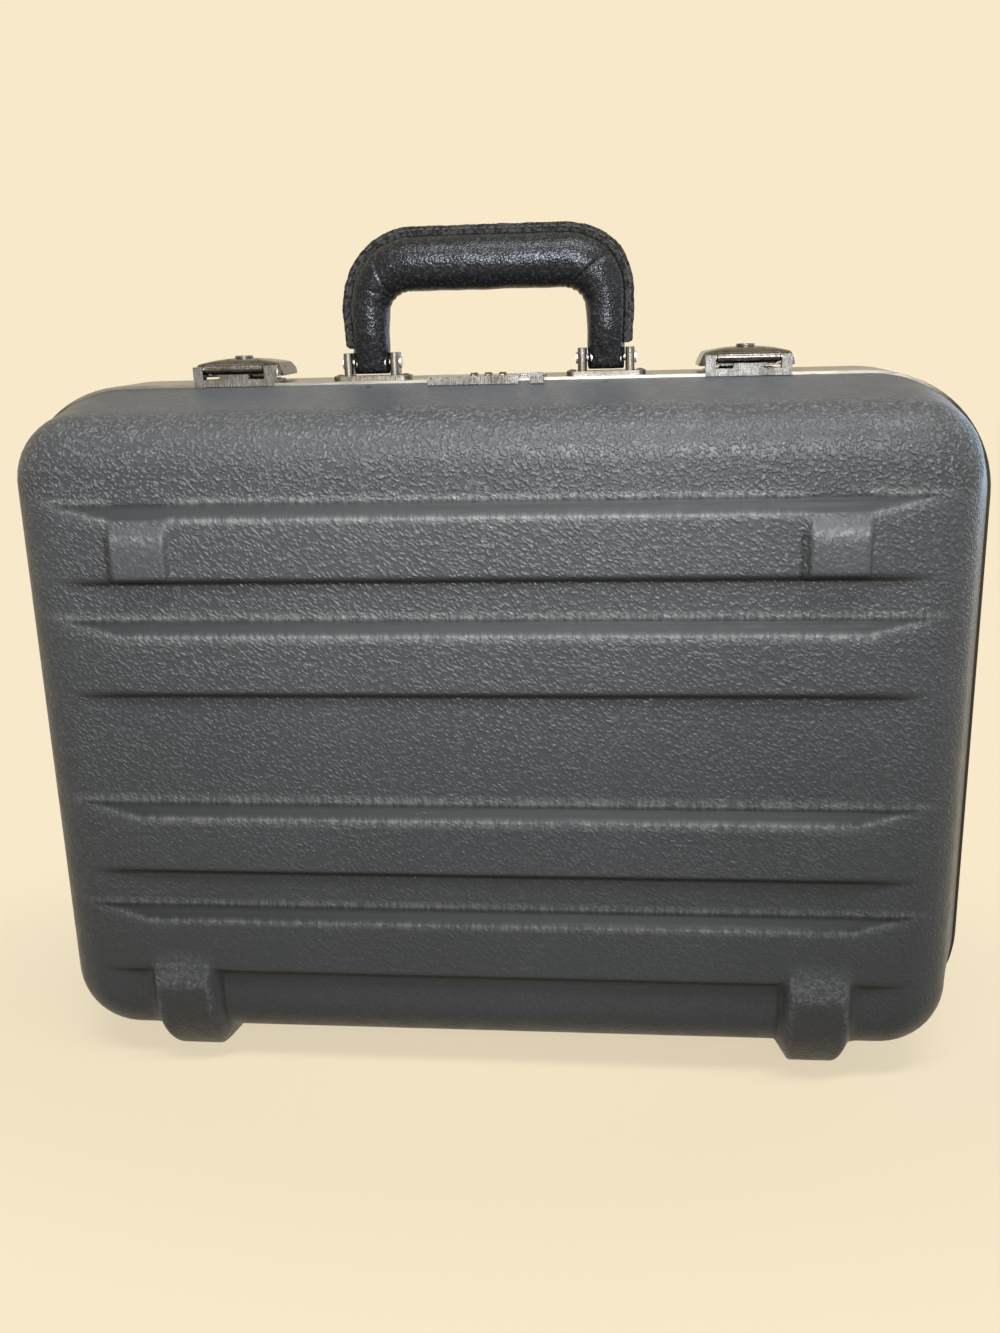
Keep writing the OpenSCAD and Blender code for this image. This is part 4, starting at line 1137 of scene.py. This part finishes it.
def foam_outside(count):
    """Rings up the block's outside from its face to its edge, a little in from the shell all round."""
    def size_at(depth):
        share = np.clip((depth - VALANCE_D) / (SHELL_DEPTH - EDGE_R - VALANCE_D), 0, 1)
        inset = FOAM_INSET + RIM_FLARE * share + 0.5
        return RIM_HALF_W - inset, RIM_HALF_H - inset, RIM_R - inset - share * 14

    rings = []
    wall_end = SHELL_DEPTH - EDGE_R
    radius = EDGE_R - FOAM_INSET
    for a in np.linspace(90, 0, 7):
        turn = math.radians(a)
        half_w, half_h, corner = size_at(wall_end)
        shrink = radius * (1 - math.cos(turn))
        rings.append(foam_ring(half_w - shrink, half_h - shrink, max(corner - shrink, 9),
                               wall_end + radius * math.sin(turn) - 0.5, count))
    for depth, ease in ((VALANCE_D, 0), (14, 0), (FOAM_EDGE + 2.5, 0), (FOAM_EDGE + 0.8, 0.7),
                        (FOAM_EDGE, 2.6)):
        half_w, half_h, corner = size_at(depth)
        rings.append(foam_ring(half_w - ease, half_h - ease, corner - ease, depth, count))
    return rings


def build_base_foam():
    """Block that fills the front shell, with the bay cut into it and room for the lock's case."""
    rings = foam_outside(FOAM_POINTS)
    for grow, down in ((5, -0.1), (2.4, 0), (1, 0.7), (0.3, 2), (0.1, 6), (0.1, BAY_DEPTH * 0.5),
                       (0.2, BAY_DEPTH - 4), (-0.6, BAY_DEPTH - 1), (-3, BAY_DEPTH)):
        rings.append(foam_ring(BAY_HALF_W + grow, BAY_HALF_H + grow, BAY_R + grow, FOAM_EDGE + down,
                               FOAM_POINTS))
    verts = np.concatenate(rings)
    verts = verts + np.stack([rough(verts, 13, 0.25), 0 * verts[:, 0], rough(verts[:, ::-1], 13, 0.25)], -1)
    verts[:, 1] *= -1
    foam = make_object("base_foam_block", verts, tube_faces(len(rings), FOAM_POINTS), FOAM, "root")
    low, high = box_mm("lock_case")
    cut(foam, *rounded_box(low - LOCK_ROOM, (high[0] + LOCK_ROOM, 3, TOP_Z + 3), 1))
    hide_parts("base_foam")


def build_lid_foam():
    """Convoluted pad: rows of soft peaks whose tops lie in one plane."""
    count, steps = FOAM_POINTS, 58
    inset, pitch, swing = FOAM_INSET + 3.2, 25, 7
    half_w, half_h = RIM_HALF_W - inset, RIM_HALF_H - inset
    edge = foam_ring(half_w, half_h, RIM_R - inset, FOAM_EDGE + 0.4, count)

    def crate(x, z):
        wave = np.cos(2 * math.pi * x / pitch) * np.cos(2 * math.pi * (z - MID_Z) / pitch)
        gap = np.minimum(half_w - np.abs(x), half_h - np.abs(z - MID_Z))
        border = np.clip((gap - 9) / 8, 0, 1)
        return FOAM_EDGE + border * swing * (0.5 - 0.5 * wave) ** 0.8

    # The wavy side: smaller and smaller copies of the edge, down to a point in the middle
    rings = foam_outside(count)[:-1] + [edge]
    for k in range(1, steps + 1):
        x, z = edge[:, 0] * (1 - k / steps), MID_Z + (edge[:, 2] - MID_Z) * (1 - k / steps)
        rings.append(np.stack([x, crate(x, z), z], -1))
    rings[-1] = rings[-1][:1]
    verts = np.concatenate(rings)
    faces = grid_faces(len(rings) - 1, count, closed=True) + [list(range(count))[::-1]]
    last, centre = (len(rings) - 2) * count, len(verts) - 1
    faces += [[last + i, last + (i + 1) % count, centre] for i in range(count)]
    foam = make_object("lid_foam_crate", verts, faces, FOAM, "lid")
    low, high = box_mm("lock_strike")
    cut(foam, *rounded_box((low[0] - 2, -3, low[2] - 2), (high[0] + 2, high[1] + 2, TOP_Z + 3), 1))
    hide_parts("lid_foam")


build_base_foam()
build_lid_foam()

# ---- Floor, light and camera ----

FLOOR = (0.939, 0.815, 0.591)
FLOOR_BOUNCE = (0.15, 0.16, 0.19)
FLOOR_HALF = 4000
CAMERA_PLACE = np.array([62.5, -616.3, 371.8])
PITCH, YAW, ROLL = (math.radians(a) for a in (-15.8, -5.75, 1.55))
FOCAL_PX = 1250
IMAGE_H = 1333
SENSOR = 36


def camera_axes():
    """Rows: the camera's right, down and forward directions."""
    cp, sp, cy, sy = math.cos(PITCH), math.sin(PITCH), math.cos(YAW), math.sin(YAW)
    cr, sr = math.cos(ROLL), math.sin(ROLL)
    base = np.array([[1, 0, 0], [0, 0, -1], [0, 1, 0]], float)
    turn = np.array([[cy, -sy, 0], [sy, cy, 0], [0, 0, 1]])
    tilt = np.array([[1, 0, 0], [0, cp, sp], [0, -sp, cp]])
    roll = np.array([[cr, sr, 0], [-sr, cr, 0], [0, 0, 1]])
    return roll @ tilt @ base @ turn


def place_at(obj, right, up, back, place):
    """Put an object at a place in metres, with its x, y and z along three directions."""
    world = np.eye(4)
    world[:3] = np.stack([right, up, back, place], -1)
    obj.matrix_world = Matrix(world.tolist())


def add_camera():
    right, down, forward = camera_axes()
    camera = linked("camera", bpy.data.cameras.new("camera"))
    place_at(camera, right, -down, -forward, CAMERA_PLACE * MM)
    camera.data.sensor_width = SENSOR
    camera.data.lens = FOCAL_PX * SENSOR / IMAGE_H
    camera.data.clip_start = 0.01
    bpy.context.scene.camera = camera


def add_area(name, place, target, size, power, color, spread=180):
    """Rectangular lamp at a place in metres, facing a target."""
    light = bpy.data.lights.new(name, "AREA")
    light.shape = "RECTANGLE"
    light.size, light.size_y = size
    light.energy = power
    light.color = color
    light.spread = math.radians(spread)
    obj = linked(name, light)
    back = np.subtract(place, target)
    back = back / np.linalg.norm(back)
    side = np.cross([0, 0, 1.0], back)
    side = side / np.linalg.norm(side)
    place_at(obj, side, np.cross(back, side), back, place)
    obj.visible_camera = False


def seen_directly(tree):
    """1 for rays that show the background: from the camera, or by reflection or through glass."""
    camera, glossy, glass = (node(tree, "LightPath", out=f"Is {kind} Ray")
                             for kind in ("Camera", "Glossy", "Transmission"))
    return camera.at_least(glossy).at_least(glass)


def add_world():
    """Faint cool light all round; the background shows the floor's colour."""
    world = bpy.data.worlds.new("studio")
    bpy.context.scene.world = world
    world.use_nodes = True
    tree = world.node_tree
    light = node(tree, "Background", Color=(0.86, 0.93, 1, 1), Strength=0.10)
    seen = node(tree, "Background", Color=(*FLOOR, 1))
    mix = node(tree, "MixShader", Fac=seen_directly(tree), _1=light, _2=seen)
    feed(tree, tree.nodes["World Output"].inputs["Surface"], mix)


def floor_card():
    """Pale card that shows its own plain colour, with the object's soft shadow near the object."""
    material, tree, shader = new_material("floor_card", FLOOR, 0.9, Specular_IOR_Level=0.0)
    drive(shader, Base_Color=blend(node(tree, "LightPath", out="Is Diffuse Ray"), FLOOR, FLOOR_BOUNCE))
    plain = node(tree, "Emission", Color=(*FLOOR, 1), Strength=1.0)
    place = place_of(tree)
    away = vector_calc("LENGTH", vector_calc("MULTIPLY", place, (0.5, 1, 1)), out="Value")
    fleck = span(noise(place, 600, 3), 0.3, 0.7, -0.01, 0.0)
    share = (span(away, 0.09, 0.25, 0.72, 1.0) + fleck) * seen_directly(tree)
    mix = node(tree, "MixShader", Fac=share, _1=shader.outputs[0], _2=plain)
    feed(tree, tree.nodes["Material Output"].inputs["Surface"], mix)
    return material


def add_floor():
    corners = [(x, y, 0) for x, y in ((-1, -1), (1, -1), (1, 1), (-1, 1))]
    mesh = mesh_of("floor", np.array(corners) * FLOOR_HALF, [(0, 1, 2, 3)])
    mesh.materials.append(floor_card())
    linked("floor", mesh)


add_camera()
add_world()
add_floor()
add_area("key", (0.10, -0.75, 0.55), (0.0, -0.05, 0.43), (0.34, 0.2), 1.6, (1, 0.99, 0.97), 65)
add_area("overhead", (0.16, -0.42, 1.12), (0.05, -0.06, 0.34), (1.1, 0.14), 2.1, (1, 0.97, 0.92), 70)
add_area("window", (1.1, -0.5, 0.6), (0.1, -0.05, 0.22), (0.5, 0.8), 1.5, (0.7, 0.84, 1))
add_area("sky", (1.2, 1.0, 0.5), (0.23, -0.02, 0.22), (1.0, 0.9), 7, (0.44, 0.67, 1))
bpy.context.scene.view_settings.view_transform = "Standard"
